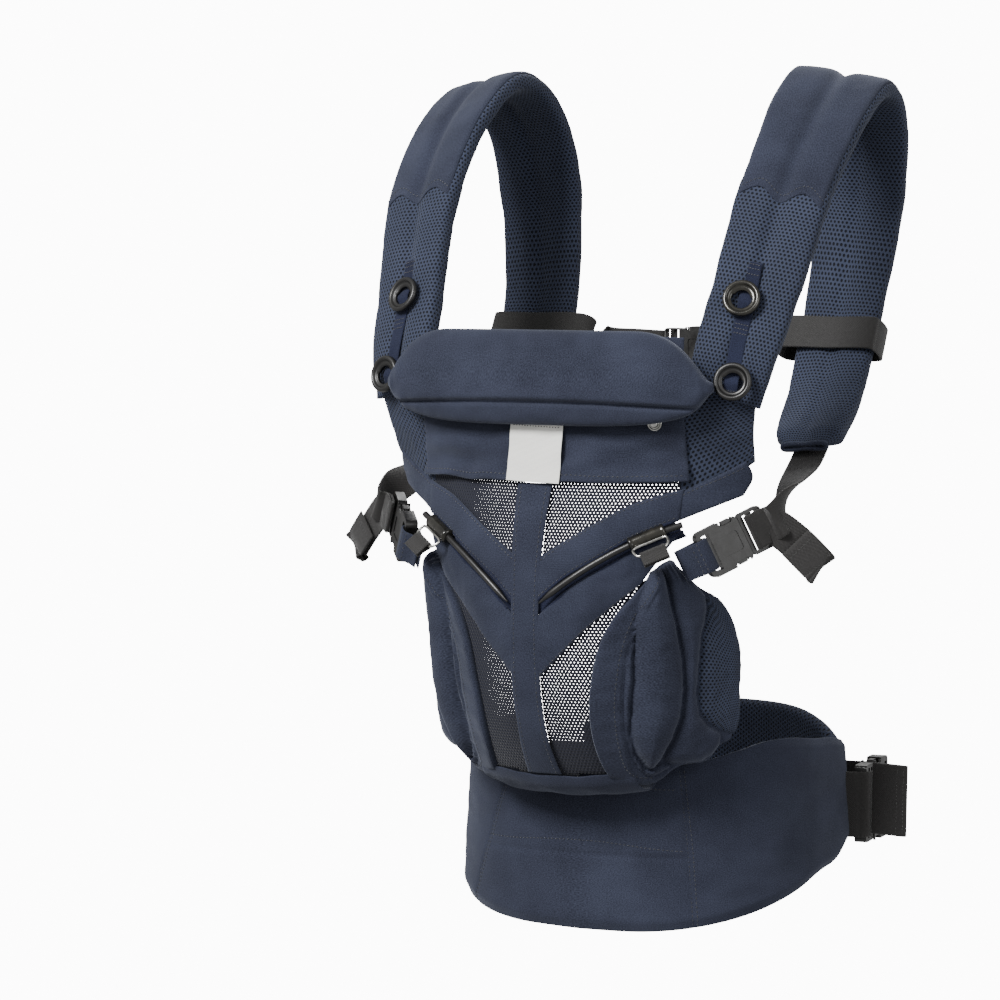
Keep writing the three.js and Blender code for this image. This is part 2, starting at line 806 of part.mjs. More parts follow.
// ---- Slot buttons and their tapes ----
const buttonPlaces = [
  { name: "upper", station: 1.93, share: 0.42 },
  { name: "lower", station: 0.4, share: 0.6 },
];

function ringButton() {
  const half = ringThickness / 2;
  const profile = [
    [0, -half],
    [ringRadius - 1.4, -half],
    [ringRadius, -half + 1.2],
    [ringRadius, half - 1.6],
    [ringRadius - 1.2, half],
    [ringRadius - 3.2, half],
    [ringRadius - 4.4, half - 1.8],
    [0, half - 1.8],
  ].map(([r, y]) => new THREE.Vector2(r, y));
  const disc = new THREE.LatheGeometry(profile, 18).rotateX(Math.PI / 2);
  return cut(disc, [box(-5.6, 5.6, -3.6, 4, -half - 1, half + 1)]);
}

function addButtons({ name, sign }) {
  for (const place of buttonPlaces) {
    const { tangent, normal } = strapFrame(place.station);
    const centre = strapPoint(place.station, place.share, strapSurface + 2.2 + ringThickness / 2);
    const matrix = frameMatrix(centre, new THREE.Vector3().crossVectors(tangent, normal), normal, sign);
    addPlaced(`ring_${place.name}_${name}`, ringButton(), plastic, matrix);
  }
  const from = buttonPlaces[0].station + 0.75;
  const to = 0.05;
  const face = (lift) => (t, s) => {
    const station = from + (to - from) * t;
    const share = 0.42 + 0.18 * t + (s - 0.5) * 0.19;
    return strapPoint(station, share, strapSurface + lift);
  };
  addSlab(`ring_tape_${name}`, face(1.8), face(0.5), [16, 1], twill, sign);
}

// ---- Neck pillow ----
function addPillow() {
  const halfSpan = 121;
  const face = (outer) => (t, s) => {
    const x = (2 * s - 1) * halfSpan;
    const edge = Math.abs(2 * s - 1);
    const round = Math.sqrt(Math.max(1 - edge ** 3.2, 0.02));
    const middle = 396 + 2 * (1 - round);
    const z = middle + (t - 0.5) * 60 * round;
    const crown = Math.sqrt(Math.max(Math.sin(Math.PI * t), 0)) * round;
    const lift = outer ? 8 + 17 * crown : 6;
    return panelPoint(x, z, lift);
  };
  addSlab("pillow", face(true), face(false), [6, 14], twill);
}

// ---- Waist belt ----
function addBelt() {
  const face = (lift) => (t, s) => {
    const angle = (2 * t - 1) * beltEndAngle;
    const [low, high] = along(beltEdges, Math.abs(angle));
    return beltPoint(angle, low + (high - low) * s, lift);
  };
  addSlab("belt_front", face(0), face(-clothThickness), [36, 2], twill);
  const padOuter = -clothThickness - clothGap;
  addSlab("belt_pad", face(padOuter), face(padOuter - beltPadThickness), [36, 1], mesh);
}

const waistFrame = frameMatrix(
  new THREE.Vector3(133.5, 96, waistWebbingLow + waistWebbingWidth / 2),
  new THREE.Vector3(0.17, -0.985, 0),
  new THREE.Vector3(0.985, 0.17, 0),
  1,
);

function addWaistBack() {
  addPlaced("waist_buckle_female", femaleHalf(waistBuckle), plastic, waistFrame);
  addPlaced("waist_buckle_male", maleHalf(waistBuckle), plastic, waistFrame);

  // Webbing from the belt's left end round the back to the buckle's fixed bar.
  const middle = waistWebbingLow + waistWebbingWidth / 2;
  const arc = (angle) => backArcPoint(angle, middle, 0.2).toArray();
  const route = [[-138.4, 36, middle], [-137, 60, middle], arc(-39.5), arc(-26), arc(-13), arc(0)];
  route.push(arc(13), arc(25), arc(33), [125, 88, middle], [128.6, 91.4, middle]);
  const up = route.map(() => [0, 0, 1]);
  addBand("waist_webbing", route, up, waistWebbingWidth, webbingThickness, 30, webbing);

  const face = (lift) => (t, s) => {
    const angle = (2 * t - 1) * lumbarHalfAngle;
    const edge = (2 * t - 1) ** 4;
    const low = 34 + 10 * edge;
    const high = 142 - 24 * edge;
    return backArcPoint(angle, low + (high - low) * s, lift);
  };
  addSlab("lumbar_pad", face(-2.6), face(-2.6 - lumbarThickness), [16, 2], mesh);

  // Webbing sewn over the belt's right end and round the male half's first bar.
  const anchor = [80, 87, 94, 99].map((angle) => beltPoint(angle, middle, 3).toArray());
  anchor.push([141.4, 34, middle], [146.6, 38.5, middle], [149, 44, middle], [148.4, 49, middle]);
  const upright = anchor.map(() => [0, 0, 1]);
  addBand("waist_anchor", anchor, upright, waistWebbingWidth - 2, webbingThickness, 14, webbing);

  // The webbing's spare end, folded in a stack that stands out beside the buckle.
  const tail = roundedPlate(0, 28, -26, 26, 3, 6, 0.8);
  const tailFrame = frameMatrix(
    new THREE.Vector3(151.5, 44, 84),
    new THREE.Vector3(0.99, -0.12, -0.02),
    new THREE.Vector3(-0.12, -0.99, 0),
    1,
  );
  addPlaced("waist_tail", tail, webbing, tailFrame);
}

// ---- Cross strap behind the neck ----
function addCrossStrap() {
  const buckleReach = (crossBuckle.female + crossBuckle.male + 0.5) / 2;
  const dip = crossStrapHeight - 6;
  const crossFrame = frameMatrix(
    new THREE.Vector3(buckleReach, 46, dip),
    new THREE.Vector3(-1, 0, 0),
    new THREE.Vector3(0, 1, 0),
    1,
  );
  addPlaced("cross_buckle_female", femaleHalf(crossBuckle), plastic, crossFrame);
  addPlaced("cross_buckle_male", maleHalf(crossBuckle), plastic, crossFrame);
  const leg = strapFrame(crossStation);
  const slack = strapSurface + 2.6;
  const around = (reach, lift) =>
    leg.centre.clone().addScaledVector(leg.across, reach).addScaledVector(leg.normal, lift).toArray();
  const edge = leg.halfWidth + 3.4;
  const neckSlack = 11;
  const level = [0, 0, 1];
  for (const { name, sign } of sides) {
    const route = [
      [buckleReach + 1.2, 46, dip],
      [42, 43.5, dip + 1],
      [66, 34, dip + 3],
      around(-edge - neckSlack, -slack - 0.6),
      around(0, -slack),
      around(edge - 5, -slack),
      around(edge, -slack * 0.55),
      around(edge, slack * 0.55),
      around(edge - 5, slack),
      around(0, slack),
      around(-edge, slack),
      around(-edge - neckSlack, slack * 0.55),
      around(-edge - neckSlack, 3.6 - slack),
    ];
    const widths = route.map((_, i) => (i < 3 ? level : leg.tangent.toArray()));
    const label = `cross_strap_${name}`;
    addBand(label, route, widths, crossStrapWidth, webbingThickness, 36, webbing, sign);
  }
}

addCentreStrip();
sides.forEach(addPanelSide);
addYoke();
addHoodSnap();
sides.forEach(addSideMesh);
addSeatBase();
sides.forEach(addWing);
sides.forEach(addRailSet);
sides.forEach(addSideBuckle);
sides.forEach(addStrap);
sides.forEach(addButtons);
addPillow();
addBelt();
addWaistBack();
addCrossStrap();

export default carrier;
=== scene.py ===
import bisect
import functools
import math

import bmesh
import bpy
from mathutils import Matrix, Vector, noise


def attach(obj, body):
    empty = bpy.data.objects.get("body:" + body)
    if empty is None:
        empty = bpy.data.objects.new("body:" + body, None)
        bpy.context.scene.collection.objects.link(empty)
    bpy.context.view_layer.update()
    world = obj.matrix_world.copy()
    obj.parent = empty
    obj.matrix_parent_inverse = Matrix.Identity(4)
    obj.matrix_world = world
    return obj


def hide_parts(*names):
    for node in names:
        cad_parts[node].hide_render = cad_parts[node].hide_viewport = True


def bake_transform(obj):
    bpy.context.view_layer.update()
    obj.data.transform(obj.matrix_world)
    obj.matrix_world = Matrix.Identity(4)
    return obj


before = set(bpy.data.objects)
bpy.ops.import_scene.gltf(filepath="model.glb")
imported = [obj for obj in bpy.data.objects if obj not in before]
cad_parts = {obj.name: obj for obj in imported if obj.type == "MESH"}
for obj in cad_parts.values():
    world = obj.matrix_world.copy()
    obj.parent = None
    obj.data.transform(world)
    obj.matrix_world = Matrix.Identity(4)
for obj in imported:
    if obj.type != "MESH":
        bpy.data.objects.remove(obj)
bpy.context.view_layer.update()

MM = 0.001
SIDES = (("left", -1), ("right", 1))
UP = Vector((0, 0, 1))
MADE = "_made"

# ---- The carrier's own dimensions in millimetres, the same as the CAD's ----
PANEL = [
    (100, -152, 0.004), (117, -172, 0.0042), (142, -188, 0.0042), (172, -198, 0.0042),
    (205, -202, 0.0042), (242, -202, 0.004), (276, -199, 0.0035), (300, -194, 0.0032),
    (325, -187, 0.00275), (360, -181, 0.0017), (400, -175, 0.001), (430, -171, 0.0009),
]
STRAP = [
    (0, 129, -155, 381, 26, 0.31, 0), (1, 133, -146, 412, 28.5, 0.31, 0),
    (2, 137.5, -129, 448, 30, 0.31, 0), (3, 142, -114, 484, 31.5, 0.3, 0),
    (4, 145, -99, 516, 32.5, 0.28, -0.03), (5, 147, -74, 550, 34, 0.27, -0.08),
    (6, 147, -43, 581, 36, 0.26, -0.14), (7, 145, -7, 601, 36.5, 0.25, -0.17),
    (8, 142, 25, 595, 36, 0.2, -0.15), (9, 138, 47, 569, 35.5, 0.08, -0.1),
    (10, 134.5, 55, 534, 35, 0, -0.05), (11, 131.5, 55, 500, 33, 0, -0.03),
    (12, 127, 46, 452, 31, 0, 0), (13, 126, 32, 415, 30, 0, 0),
    (14, 129, 8, 382, 29, 0, 0), (15, 136, -27, 358, 27, 0, 0),
    (16, 140, -50, 345, 22, 0, 0),
]
STRAP_END = 16
STRAP_HALF = 8.2
HEM_STATION = 4.05
BELT_HALF = (140, 127)
BELT_POWER = 2 / 2.5
BELT_TAPER = 0.0004
BELT_END = 103
BELT_EDGES = [
    (0, 0, 119), (18, 1.5, 119), (33, 5.4, 122), (50, 12.4, 130), (62, 19, 135.5),
    (74, 27, 136), (85, 35.8, 133), (95, 43.2, 130), (103, 56, 126),
]
BACK_RADIUS = 195
BACK_CENTRE_Y = -77
RAIL_POINTS = ((12, 240), (50, 269), (93, 292))
RAIL_LIFT = 5
SLEEVE_LENGTH = 27


# ---- Curves and surfaces ----
def smooth(rows, t):
    """The values at t on a smooth curve through rows of (t, value, ...)."""
    last = len(rows) - 1
    t = min(max(t, rows[0][0]), rows[last][0])
    k = 0
    while k < last - 1 and rows[k + 1][0] <= t:
        k += 1
    span = rows[k + 1][0] - rows[k][0]
    s = (t - rows[k][0]) / span

    def slope(i, column):
        before, after = rows[max(i - 1, 0)], rows[min(i + 1, last)]
        return (after[column] - before[column]) / (after[0] - before[0]) * span

    return [
        rows[k][c] * (1 + 2 * s) * (1 - s) ** 2
        + slope(k, c) * s * (1 - s) ** 2
        + rows[k + 1][c] * s * s * (3 - 2 * s)
        + slope(k + 1, c) * s * s * (s - 1)
        for c in range(1, len(rows[0]))
    ]


def through(points, share):
    """The point at a share of the way along a smooth curve through points."""
    rows = [(i, *p) for i, p in enumerate(points)]
    return smooth(rows, share * (len(points) - 1))


def panel_depth(x, z):
    centre, bow = smooth(PANEL, z)
    return centre + bow * x * x


def panel(x, z, lift):
    """A point on the front panel, lift millimetres out of it."""
    step = 0.5
    across = (panel_depth(x + step, z) - panel_depth(x - step, z)) / (2 * step)
    upward = (panel_depth(x, z + step) - panel_depth(x, z - step)) / (2 * step)
    normal = Vector((across, -1, upward)).normalized()
    return Vector((x, panel_depth(x, z), z)) + normal * lift


def belt(angle, z, lift):
    turn = math.radians(angle)
    taper = 1 - BELT_TAPER * z
    sine = math.copysign(abs(math.sin(turn)) ** BELT_POWER, math.sin(turn))
    cosine = math.copysign(abs(math.cos(turn)) ** BELT_POWER, math.cos(turn))
    x = (BELT_HALF[0] * taper + lift) * sine
    return Vector((x, -(BELT_HALF[1] * taper + lift) * cosine, z))


def back_arc(angle, z, lift):
    turn = math.radians(angle)
    radius = BACK_RADIUS + lift
    return Vector((radius * math.sin(turn), BACK_CENTRE_Y + radius * math.cos(turn), z))


def strap_frame(station):
    """The right strap's centre, tangent, width direction, outward normal and half width."""
    def centre(at):
        return Vector(smooth(STRAP, at)[:3])

    half_width, fall_back, drop = smooth(STRAP, station)[3:]
    step = 0.02
    tangent = centre(min(station + step, STRAP_END)) - centre(max(station - step, 0))
    tangent.normalize()
    across = Vector((1, fall_back, drop))
    across = (across - tangent * across.dot(tangent)).normalized()
    return centre(station), tangent, across, across.cross(tangent), half_width


def strap_point(station, share, lift):
    centre, _, across, normal, half_width = strap_frame(station)
    return centre + across * ((2 * share - 1) * half_width) + normal * lift


def rail_arc():
    a, b, c = [panel(x, z, RAIL_LIFT) for x, z in RAIL_POINTS]
    ab, ac = b - a, c - a
    axis = ab.cross(ac)
    to_centre = axis.cross(ab) * ac.length_squared + ac.cross(axis) * ab.length_squared
    centre = a + to_centre / (2 * axis.length_squared)
    start, end = a - centre, c - centre
    return centre, axis.normalized(), start, start.angle(end), start.length


RAIL_CENTRE, RAIL_AXIS, RAIL_START, RAIL_SWEEP, RAIL_RADIUS = rail_arc()
SLIDE_START = RAIL_SWEEP - SLEEVE_LENGTH * 0.6 / RAIL_RADIUS


def rail_frame(angle):
    outward = (Matrix.Rotation(angle, 3, RAIL_AXIS) @ RAIL_START).normalized()
    tangent = RAIL_AXIS.cross(outward)
    return RAIL_CENTRE + outward * RAIL_RADIUS, outward, tangent


def local_axes(origin, along, outward):
    """A function from (u, v, n) in a buckle's own axes to a point."""
    u = along.normalized()
    n = (outward - u * outward.dot(u)).normalized()
    v = n.cross(u)
    return Matrix((
        (u.x, v.x, n.x, origin.x),
        (u.y, v.y, n.y, origin.y),
        (u.z, v.z, n.z, origin.z),
        (0, 0, 0, 1),
    ))


def bump(value, centre, width):
    """A soft hill, 1 at centre and near 0 beyond width."""
    return math.exp(-(((value - centre) / width) ** 2))


def ease(value, low, high):
    share = min(max((value - low) / (high - low), 0), 1)
    return share * share * (3 - 2 * share)


def wrinkle(point, size, seed=0.0):
    return noise.noise(Vector((point[0] / size + seed, point[1] / size, point[2] / size)))


# ---- Mesh building ----
class Piece:
    """Gathers grids, tubes and stitches, in millimetres, into one mesh with UVs in metres."""

    def __init__(self, name, sign=1):
        self.name = name
        self.sign = sign
        self.points, self.faces, self.uvs, self.slots = [], [], [], []

    def face(self, corners, uvs, slot):
        self.faces.append(corners)
        self.uvs.append(uvs)
        self.slots.append(slot)

    def grid(self, place, ts, ss, size=None, slot=0, wrap=False):
        """A sheet of quads; size is what t and s span, in millimetres, for the UVs."""
        first = len(self.points)
        columns = len(ss) - 1 if wrap else len(ss)
        for t in ts:
            for s in ss[:columns]:
                self.points.append(place(t, s))
        along, wide = size or (1, 1)
        for i in range(len(ts) - 1):
            for j in range(len(ss) - 1):
                a = first + i * columns + j
                b = first + i * columns + (j + 1) % columns
                corners = [a, b, b + columns, a + columns]
                spots = [(i, j), (i, j + 1), (i + 1, j + 1), (i + 1, j)]
                self.face(corners, [(ss[q] * wide, ts[p] * along) for p, q in spots], slot)
        return first, len(ts), columns

    def shell(self, place, ts, ss, size, thickness, rim=2.0, slot=0, back_slot=None, edge=0.25):
        """A closed cloth layer round place(t, s, lift) with rounded edges."""
        length, width = size

        def half(t, s):
            near = min(t * length, (1 - t) * length, s * width, (1 - s) * width)
            share = min(near / rim, 1)
            return thickness / 2 * max(math.sqrt(1 - (1 - share) ** 2), edge)

        front = self.grid(lambda t, s: place(t, s, half(t, s)), ts, ss, size, slot)
        back_slot = slot if back_slot is None else back_slot
        back = self.grid(lambda t, s: place(t, s, -half(t, s)), ts, ss, size, back_slot)
        self.join_rims(front, back, slot)

    def join_rims(self, front, back, slot):
        first, rows, columns = front
        loop = [j for j in range(columns)]
        loop += [i * columns + columns - 1 for i in range(1, rows)]
        loop += [(rows - 1) * columns + j for j in range(columns - 2, -1, -1)]
        loop += [i * columns for i in range(rows - 2, 0, -1)]
        gap = back[0] - first
        for k, a in enumerate(loop):
            b = loop[(k + 1) % len(loop)]
            corners = [first + a, first + b, first + gap + b, first + gap + a]
            spots = [self.points[c] for c in corners]
            self.face(corners, [(p.x, p.z) for p in spots], slot)

    def cap(self, grid, at_end, slot=0):
        """Closes one end of a wrapped grid."""
        first, rows, columns = grid
        start = first + ((rows - 1) * columns if at_end else 0)
        ring = [start + j for j in range(columns)]
        self.face(ring, [(self.points[c].x, self.points[c].z) for c in ring], slot)

    def tube(self, path, radius, sides=8, slot=0, flat=1.0, guide=None, closed=False):
        """A round or flattened tube along a list of points; radius may be a function."""
        count = len(path)
        size = radius if callable(radius) else lambda share: radius
        rings = []
        for i, point in enumerate(path):
            ahead = path[(i + 1) % count] if closed else path[min(i + 1, count - 1)]
            behind = path[i - 1] if closed or i else path[0]
            tangent = (ahead - behind).normalized()
            side = tangent.cross(guide or UP)
            side = side.normalized() if side.length > 1e-4 else Vector((1, 0, 0))
            up = side.cross(tangent)
            reach = size(i / (count - 1))
            ring = []
            for j in range(sides):
                turn = 2 * math.pi * j / sides
                offset = side * math.cos(turn) * reach + up * math.sin(turn) * reach * flat
                ring.append(len(self.points))
                self.points.append(point + offset)
            rings.append(ring)
        spans = count if closed else count - 1
        for i in range(spans):
            low, high = rings[i], rings[(i + 1) % count]
            for j in range(sides):
                k = (j + 1) % sides
                uvs = [(j, i), (j + 1, i), (j + 1, i + 1), (j, i + 1)]
                self.face([low[j], low[k], high[k], high[j]], uvs, slot)
        if not closed:
            for ring in (rings[0], rings[-1]):
                self.face(list(ring), [(0, 0)] * sides, slot)

    def stitches(self, place, route, slot, pitch=3.6, length=2.5, width=0.42, height=0.36):
        """A row of thread stitches on place(t, s), along a route of (t, s) points."""
        fine = [Vector(place(*through(route, i / 240))) for i in range(241)]
        spots = [through(route, i / 240) for i in range(241)]
        walked, due = 0.0, pitch / 2
        for i in range(1, len(fine)):
            step = (fine[i] - fine[i - 1]).length
            while step > 1e-9 and walked + step >= due:
                share = (due - walked) / step
                centre = fine[i - 1].lerp(fine[i], share)
                tangent = (fine[i] - fine[i - 1]).normalized()
                t, s = spots[i]
                shift = 0.004 if s < 0.5 else -0.004
                lift = 0.004 if t < 0.5 else -0.004
                one = Vector(place(t, s + shift)) - Vector(place(t, s))
                two = Vector(place(t + lift, s)) - Vector(place(t, s))
                normal = one.cross(two).normalized()
                side = tangent.cross(normal)
                first = len(self.points)
                self.points += [
                    centre - tangent * length / 2, centre + tangent * length / 2,
                    centre + side * width, centre + normal * height,
                    centre - side * width, centre - normal * height,
                ]
                for k in range(4):
                    a, b = first + 2 + k, first + 2 + (k + 1) % 4
                    self.face([first, a, b], [(0, 0)] * 3, slot)
                    self.face([first + 1, b, a], [(0, 0)] * 3, slot)
                due += pitch
            walked += step

    def make(self, *materials, level=0):
        mesh = bpy.data.meshes.new(self.name + MADE)
        corners = [(p[0] * MM * self.sign, p[1] * MM, p[2] * MM) for p in self.points]
        mesh.from_pydata(corners, [], self.faces)
        layer = mesh.uv_layers.new(name="UVMap")
        flat = [c * MM for face in self.uvs for corner in face for c in corner]
        layer.data.foreach_set("uv", flat)
        mesh.polygons.foreach_set("material_index", self.slots)
        mesh.polygons.foreach_set("use_smooth", [True] * len(self.faces))
        for material in materials:
            mesh.materials.append(material)
        tidy = bmesh.new()
        tidy.from_mesh(mesh)
        bmesh.ops.recalc_face_normals(tidy, faces=tidy.faces)
        tidy.to_mesh(mesh)
        tidy.free()
        obj = bpy.data.objects.new(self.name + MADE, mesh)
        bpy.context.scene.collection.objects.link(obj)
        if level:
            soften = obj.modifiers.new("soften", "SUBSURF")
            soften.levels = soften.render_levels = level
        return obj


def steps(count, length=None, rim=2.0):
    """Even shares from 0 to 1, with extra ones near both ends when a rim is to be rounded."""
    even = [i / count for i in range(count + 1)]
    if length is None:
        return even
    edge = rim / length
    near = [edge * share for share in (0.07, 0.3, 0.65, 1.0)]
    inner = [t for t in even if edge * 1.3 < t < 1 - edge * 1.3]
    return [0.0] + near + inner + [1 - t for t in reversed(near)] + [1.0]


def place(obj, body, *nodes, slot=None, fill=None):
    """Puts a finished piece on its body, standing for its CAD nodes."""
    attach(obj, body)
    if nodes:
        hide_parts(*nodes)
    return obj


# ---- Materials ----
class Graph:
    """Short names for the nodes of one material."""

    def __init__(self, name):
        self.material = bpy.data.materials.new(name)
        self.material.use_nodes = True
        self.nodes = self.material.node_tree.nodes
        self.links = self.material.node_tree.links
        self.shader = self.nodes["Principled BSDF"]
        self.output = self.nodes["Material Output"]

    def node(self, kind, **settings):
        made = self.nodes.new("ShaderNode" + kind)
        for key, value in settings.items():
            setattr(made, key, value)
        return made

    def feed(self, socket, value):
        if hasattr(value, "is_output"):
            self.links.new(value, socket)
        else:
            socket.default_value = value

    def math(self, operation, *values, clamp=False):
        made = self.node("Math", operation=operation, use_clamp=clamp)
        for socket, value in zip(made.inputs, values):
            self.feed(socket, value)
        return made.outputs[0]

    def vector(self, operation, *values):
        made = self.node("VectorMath", operation=operation)
        for socket, value in zip(made.inputs, values):
            self.feed(socket, value)
        return made.outputs["Value" if operation in ("LENGTH", "DOT_PRODUCT") else "Vector"]

    def uv_mm(self):
        uv = self.node("TexCoord").outputs["UV"]
        return self.vector("MULTIPLY", uv, (1000, 1000, 1000))

    def place_mm(self):
        spot = self.node("TexCoord").outputs["Object"]
        return self.vector("MULTIPLY", spot, (1000, 1000, 1000))

    def noise(self, vector, scale, detail=2.0, rough=0.5):
        made = self.node("TexNoise")
        self.feed(made.inputs["Vector"], vector)
        made.inputs["Scale"].default_value = scale
        made.inputs["Detail"].default_value = detail
        made.inputs["Roughness"].default_value = rough
        return made.outputs["Fac"]

    def remap(self, value, low, high, to_low=0.0, to_high=1.0):
        made = self.node("MapRange")
        for socket, given in zip(made.inputs, (value, low, high, to_low, to_high)):
            self.feed(socket, given)
        return made.outputs[0]

    def mix(self, share, one, two):
        made = self.node("Mix", data_type="RGBA")
        self.feed(made.inputs["Factor"], share)
        self.feed(made.inputs["A"], one)
        self.feed(made.inputs["B"], two)
        return made.outputs["Result"]

    def relief(self, height, distance, strength=1.0):
        made = self.node("Bump")
        made.inputs["Strength"].default_value = strength
        made.inputs["Distance"].default_value = distance
        self.feed(made.inputs["Height"], height)
        self.links.new(made.outputs["Normal"], self.shader.inputs["Normal"])

    def set(self, **values):
        for key, value in values.items():
            self.feed(self.shader.inputs[key.replace("_", " ")], value)

    def lattice(self, pitch, stretch=1.0):
        """Distance in millimetres to the nearest point of a staggered lattice over the UVs."""
        uv = self.uv_mm()
        cell = (pitch, pitch * 1.732 * stretch, 1)
        found = []
        for shift in (0.0, 0.5):
            scaled = self.vector("DIVIDE", uv, cell)
            moved = self.vector("ADD", scaled, (shift, shift, 0))
            part = self.vector("FRACTION", moved)
            centred = self.vector("SUBTRACT", part, (0.5, 0.5, 0))
            sized = self.vector("MULTIPLY", centred, (cell[0], cell[1] / stretch, 0))
            found.append(self.vector("LENGTH", sized))
        return self.math("MINIMUM", *found)


def tone(red, green, blue):
    """A colour given as display values from 0 to 255."""
    def linear(value):
        share = value / 255
        return share / 12.92 if share <= 0.04045 else ((share + 0.055) / 1.055) ** 2.4

    return (linear(red), linear(green), linear(blue), 1)


def twill_cloth(name, dark, light, rib=1.25):
    g = Graph(name)
    uv = g.uv_mm()
    parts = g.node("SeparateXYZ")
    g.feed(parts.inputs[0], uv)
    slant = g.math("ADD", parts.outputs[0], g.math("MULTIPLY", parts.outputs[1], 0.62))
    warp = g.math("MULTIPLY", g.noise(uv, 0.35), 0.7)
    ribs = g.math("SINE", g.math("MULTIPLY", g.math("ADD", slant, warp), 2 * math.pi / rib))
    speck = g.noise(uv, 1.15, 3.0, 0.65)
    cloud = g.noise(g.place_mm(), 0.022, 3.0, 0.55)
    height = g.math("ADD", g.math("MULTIPLY", ribs, 0.28), g.math("MULTIPLY", speck, 1.4))
    share = g.math("ADD", g.remap(speck, 0.3, 0.7, -0.5, 0.5), g.remap(cloud, 0.3, 0.7, 0.3, 0.7))
    share = g.math("ADD", share, g.math("MULTIPLY", ribs, 0.07), clamp=True)
    g.set(Base_Color=g.mix(share, dark, light), Roughness=0.9, Sheen_Weight=0.16)
    g.set(Sheen_Roughness=0.45, Sheen_Tint=(0.7, 0.75, 0.9, 1), Specular_IOR_Level=0.15)
    g.relief(height, 0.00018, 0.7)
    return g.material


# The hole colour, near black, is painted shade for the depths of the mesh's holes; the thread colour is the
# cloth's own navy.
def mesh_cloth(name, hole, thread, pitch=3.1, reach=(0.62, 1.05), stretch=0.92):
    g = Graph(name)
    far = g.lattice(pitch, stretch)
    uneven = g.remap(g.noise(g.uv_mm(), 0.5), 0.3, 0.7, -0.12, 0.12)
    open_share = g.remap(g.math("ADD", far, uneven), *reach)
    strand = g.noise(g.uv_mm(), 1.9, 2.0, 0.6)
    cloud = g.noise(g.place_mm(), 0.03, 2.0)
    shade = g.math("MULTIPLY", g.remap(strand, 0.3, 0.7, 0.62, 1.1), g.remap(cloud, 0.3, 0.7, 0.85, 1.1))
    share = g.math("MULTIPLY", open_share, shade, clamp=True)
    g.set(Base_Color=g.mix(share, hole, thread), Roughness=0.82, Sheen_Weight=0.12)
    g.set(Sheen_Roughness=0.4, Sheen_Tint=(0.7, 0.76, 0.9, 1), Specular_IOR_Level=0.2)
    g.relief(g.math("ADD", open_share, g.math("MULTIPLY", strand, 0.25)), 0.0007, 0.9)
    return g.material


def net_cloth(name, colour):
    g = Graph(name)
    strand = g.noise(g.place_mm(), 1.3, 2.0, 0.6)
    light = tuple(min(c * 1.9, 1) for c in colour[:3]) + (1,)
    g.set(Base_Color=g.mix(strand, colour, light), Roughness=0.8, Sheen_Weight=0.15)
    g.set(Specular_IOR_Level=0.25)
    g.relief(strand, 0.0002, 0.5)
    return g.material


def webbing_cloth(name, dark, light):
    g = Graph(name)
    parts = g.node("SeparateXYZ")
    g.feed(parts.inputs[0], g.uv_mm())
    across = g.math("SINE", g.math("MULTIPLY", parts.outputs[0], 2 * math.pi / 1.6))
    along = g.math("SINE", g.math("MULTIPLY", parts.outputs[1], 2 * math.pi / 1.1))
    weave = g.math("MULTIPLY", across, along)
    speck = g.noise(g.uv_mm(), 1.6, 2.0, 0.6)
    share = g.math("ADD", g.math("MULTIPLY", weave, 0.25), speck, clamp=True)
    g.set(Base_Color=g.mix(share, dark, light), Roughness=0.62, Sheen_Weight=0.2)
    g.set(Sheen_Roughness=0.4, Specular_IOR_Level=0.35)
    g.relief(g.math("ADD", g.math("MULTIPLY", weave, 0.6), speck), 0.00025, 0.8)
    return g.material


def moulded(name, dark, light, rough, metal=0.0, coat=0.0):
    g = Graph(name)
    grain = g.noise(g.place_mm(), 1.4, 3.0, 0.6)
    scuff = g.noise(g.place_mm(), 0.12, 3.0, 0.6)
    g.set(Base_Color=g.mix(g.remap(scuff, 0.35, 0.65), dark, light), Metallic=metal)
    g.set(Roughness=g.remap(scuff, 0.3, 0.7, rough * 0.85, rough * 1.2), Coat_Weight=coat)
    g.relief(grain, 0.00004, 0.35)
    return g.material


def plain_thread(name, colour):
    g = Graph(name)
    twist = g.noise(g.place_mm(), 2.5, 2.0)
    light = tuple(min(c * 1.5, 1) for c in colour[:3]) + (1,)
    g.set(Base_Color=g.mix(twist, colour, light), Roughness=0.6, Sheen_Weight=0.2)
    return g.material


def label_cloth():
    g = Graph("woven_label")
    parts = g.node("SeparateXYZ")
    g.feed(parts.inputs[0], g.uv_mm())
    rows = g.math("SINE", g.math("MULTIPLY", parts.outputs[1], 2 * math.pi / 0.8))
    speck = g.noise(g.uv_mm(), 1.2, 2.0)
    share = g.math("ADD", g.math("MULTIPLY", rows, 0.12), speck, clamp=True)
    g.set(Base_Color=g.mix(share, tone(214, 214, 208), tone(244, 243, 238)), Roughness=0.75)
    g.relief(g.math("ADD", rows, speck), 0.00012, 0.6)
    return g.material


TWILL = twill_cloth("navy_twill", tone(22, 24, 35), tone(50, 54, 69))
TWILL_DARK = twill_cloth("navy_twill_binding", tone(14, 16, 30), tone(34, 38, 58))
# Spacer mesh: its near-black first colour is painted shade inside the holes.
MESH = mesh_cloth("navy_spacer_mesh", tone(3, 4, 12), tone(50, 56, 74))
NET = net_cloth("navy_net", tone(10, 12, 24))
WEBBING = webbing_cloth("black_webbing", tone(10, 9, 9), tone(34, 32, 31))
PLASTIC = moulded("black_acetal", tone(7, 6, 6), tone(15, 14, 13), 0.42, coat=0.1)
PEWTER = moulded("gunmetal_slider", tone(18, 17, 14), tone(44, 42, 36), 0.24, metal=0.45, coat=0.4)
STEEL = moulded("polished_steel", tone(150, 150, 146), tone(205, 204, 200), 0.2, metal=1.0)
LABEL = label_cloth()
THREAD = plain_thread("navy_thread", tone(9, 11, 22))
THREAD_BLACK = plain_thread("black_thread", tone(6, 6, 6))


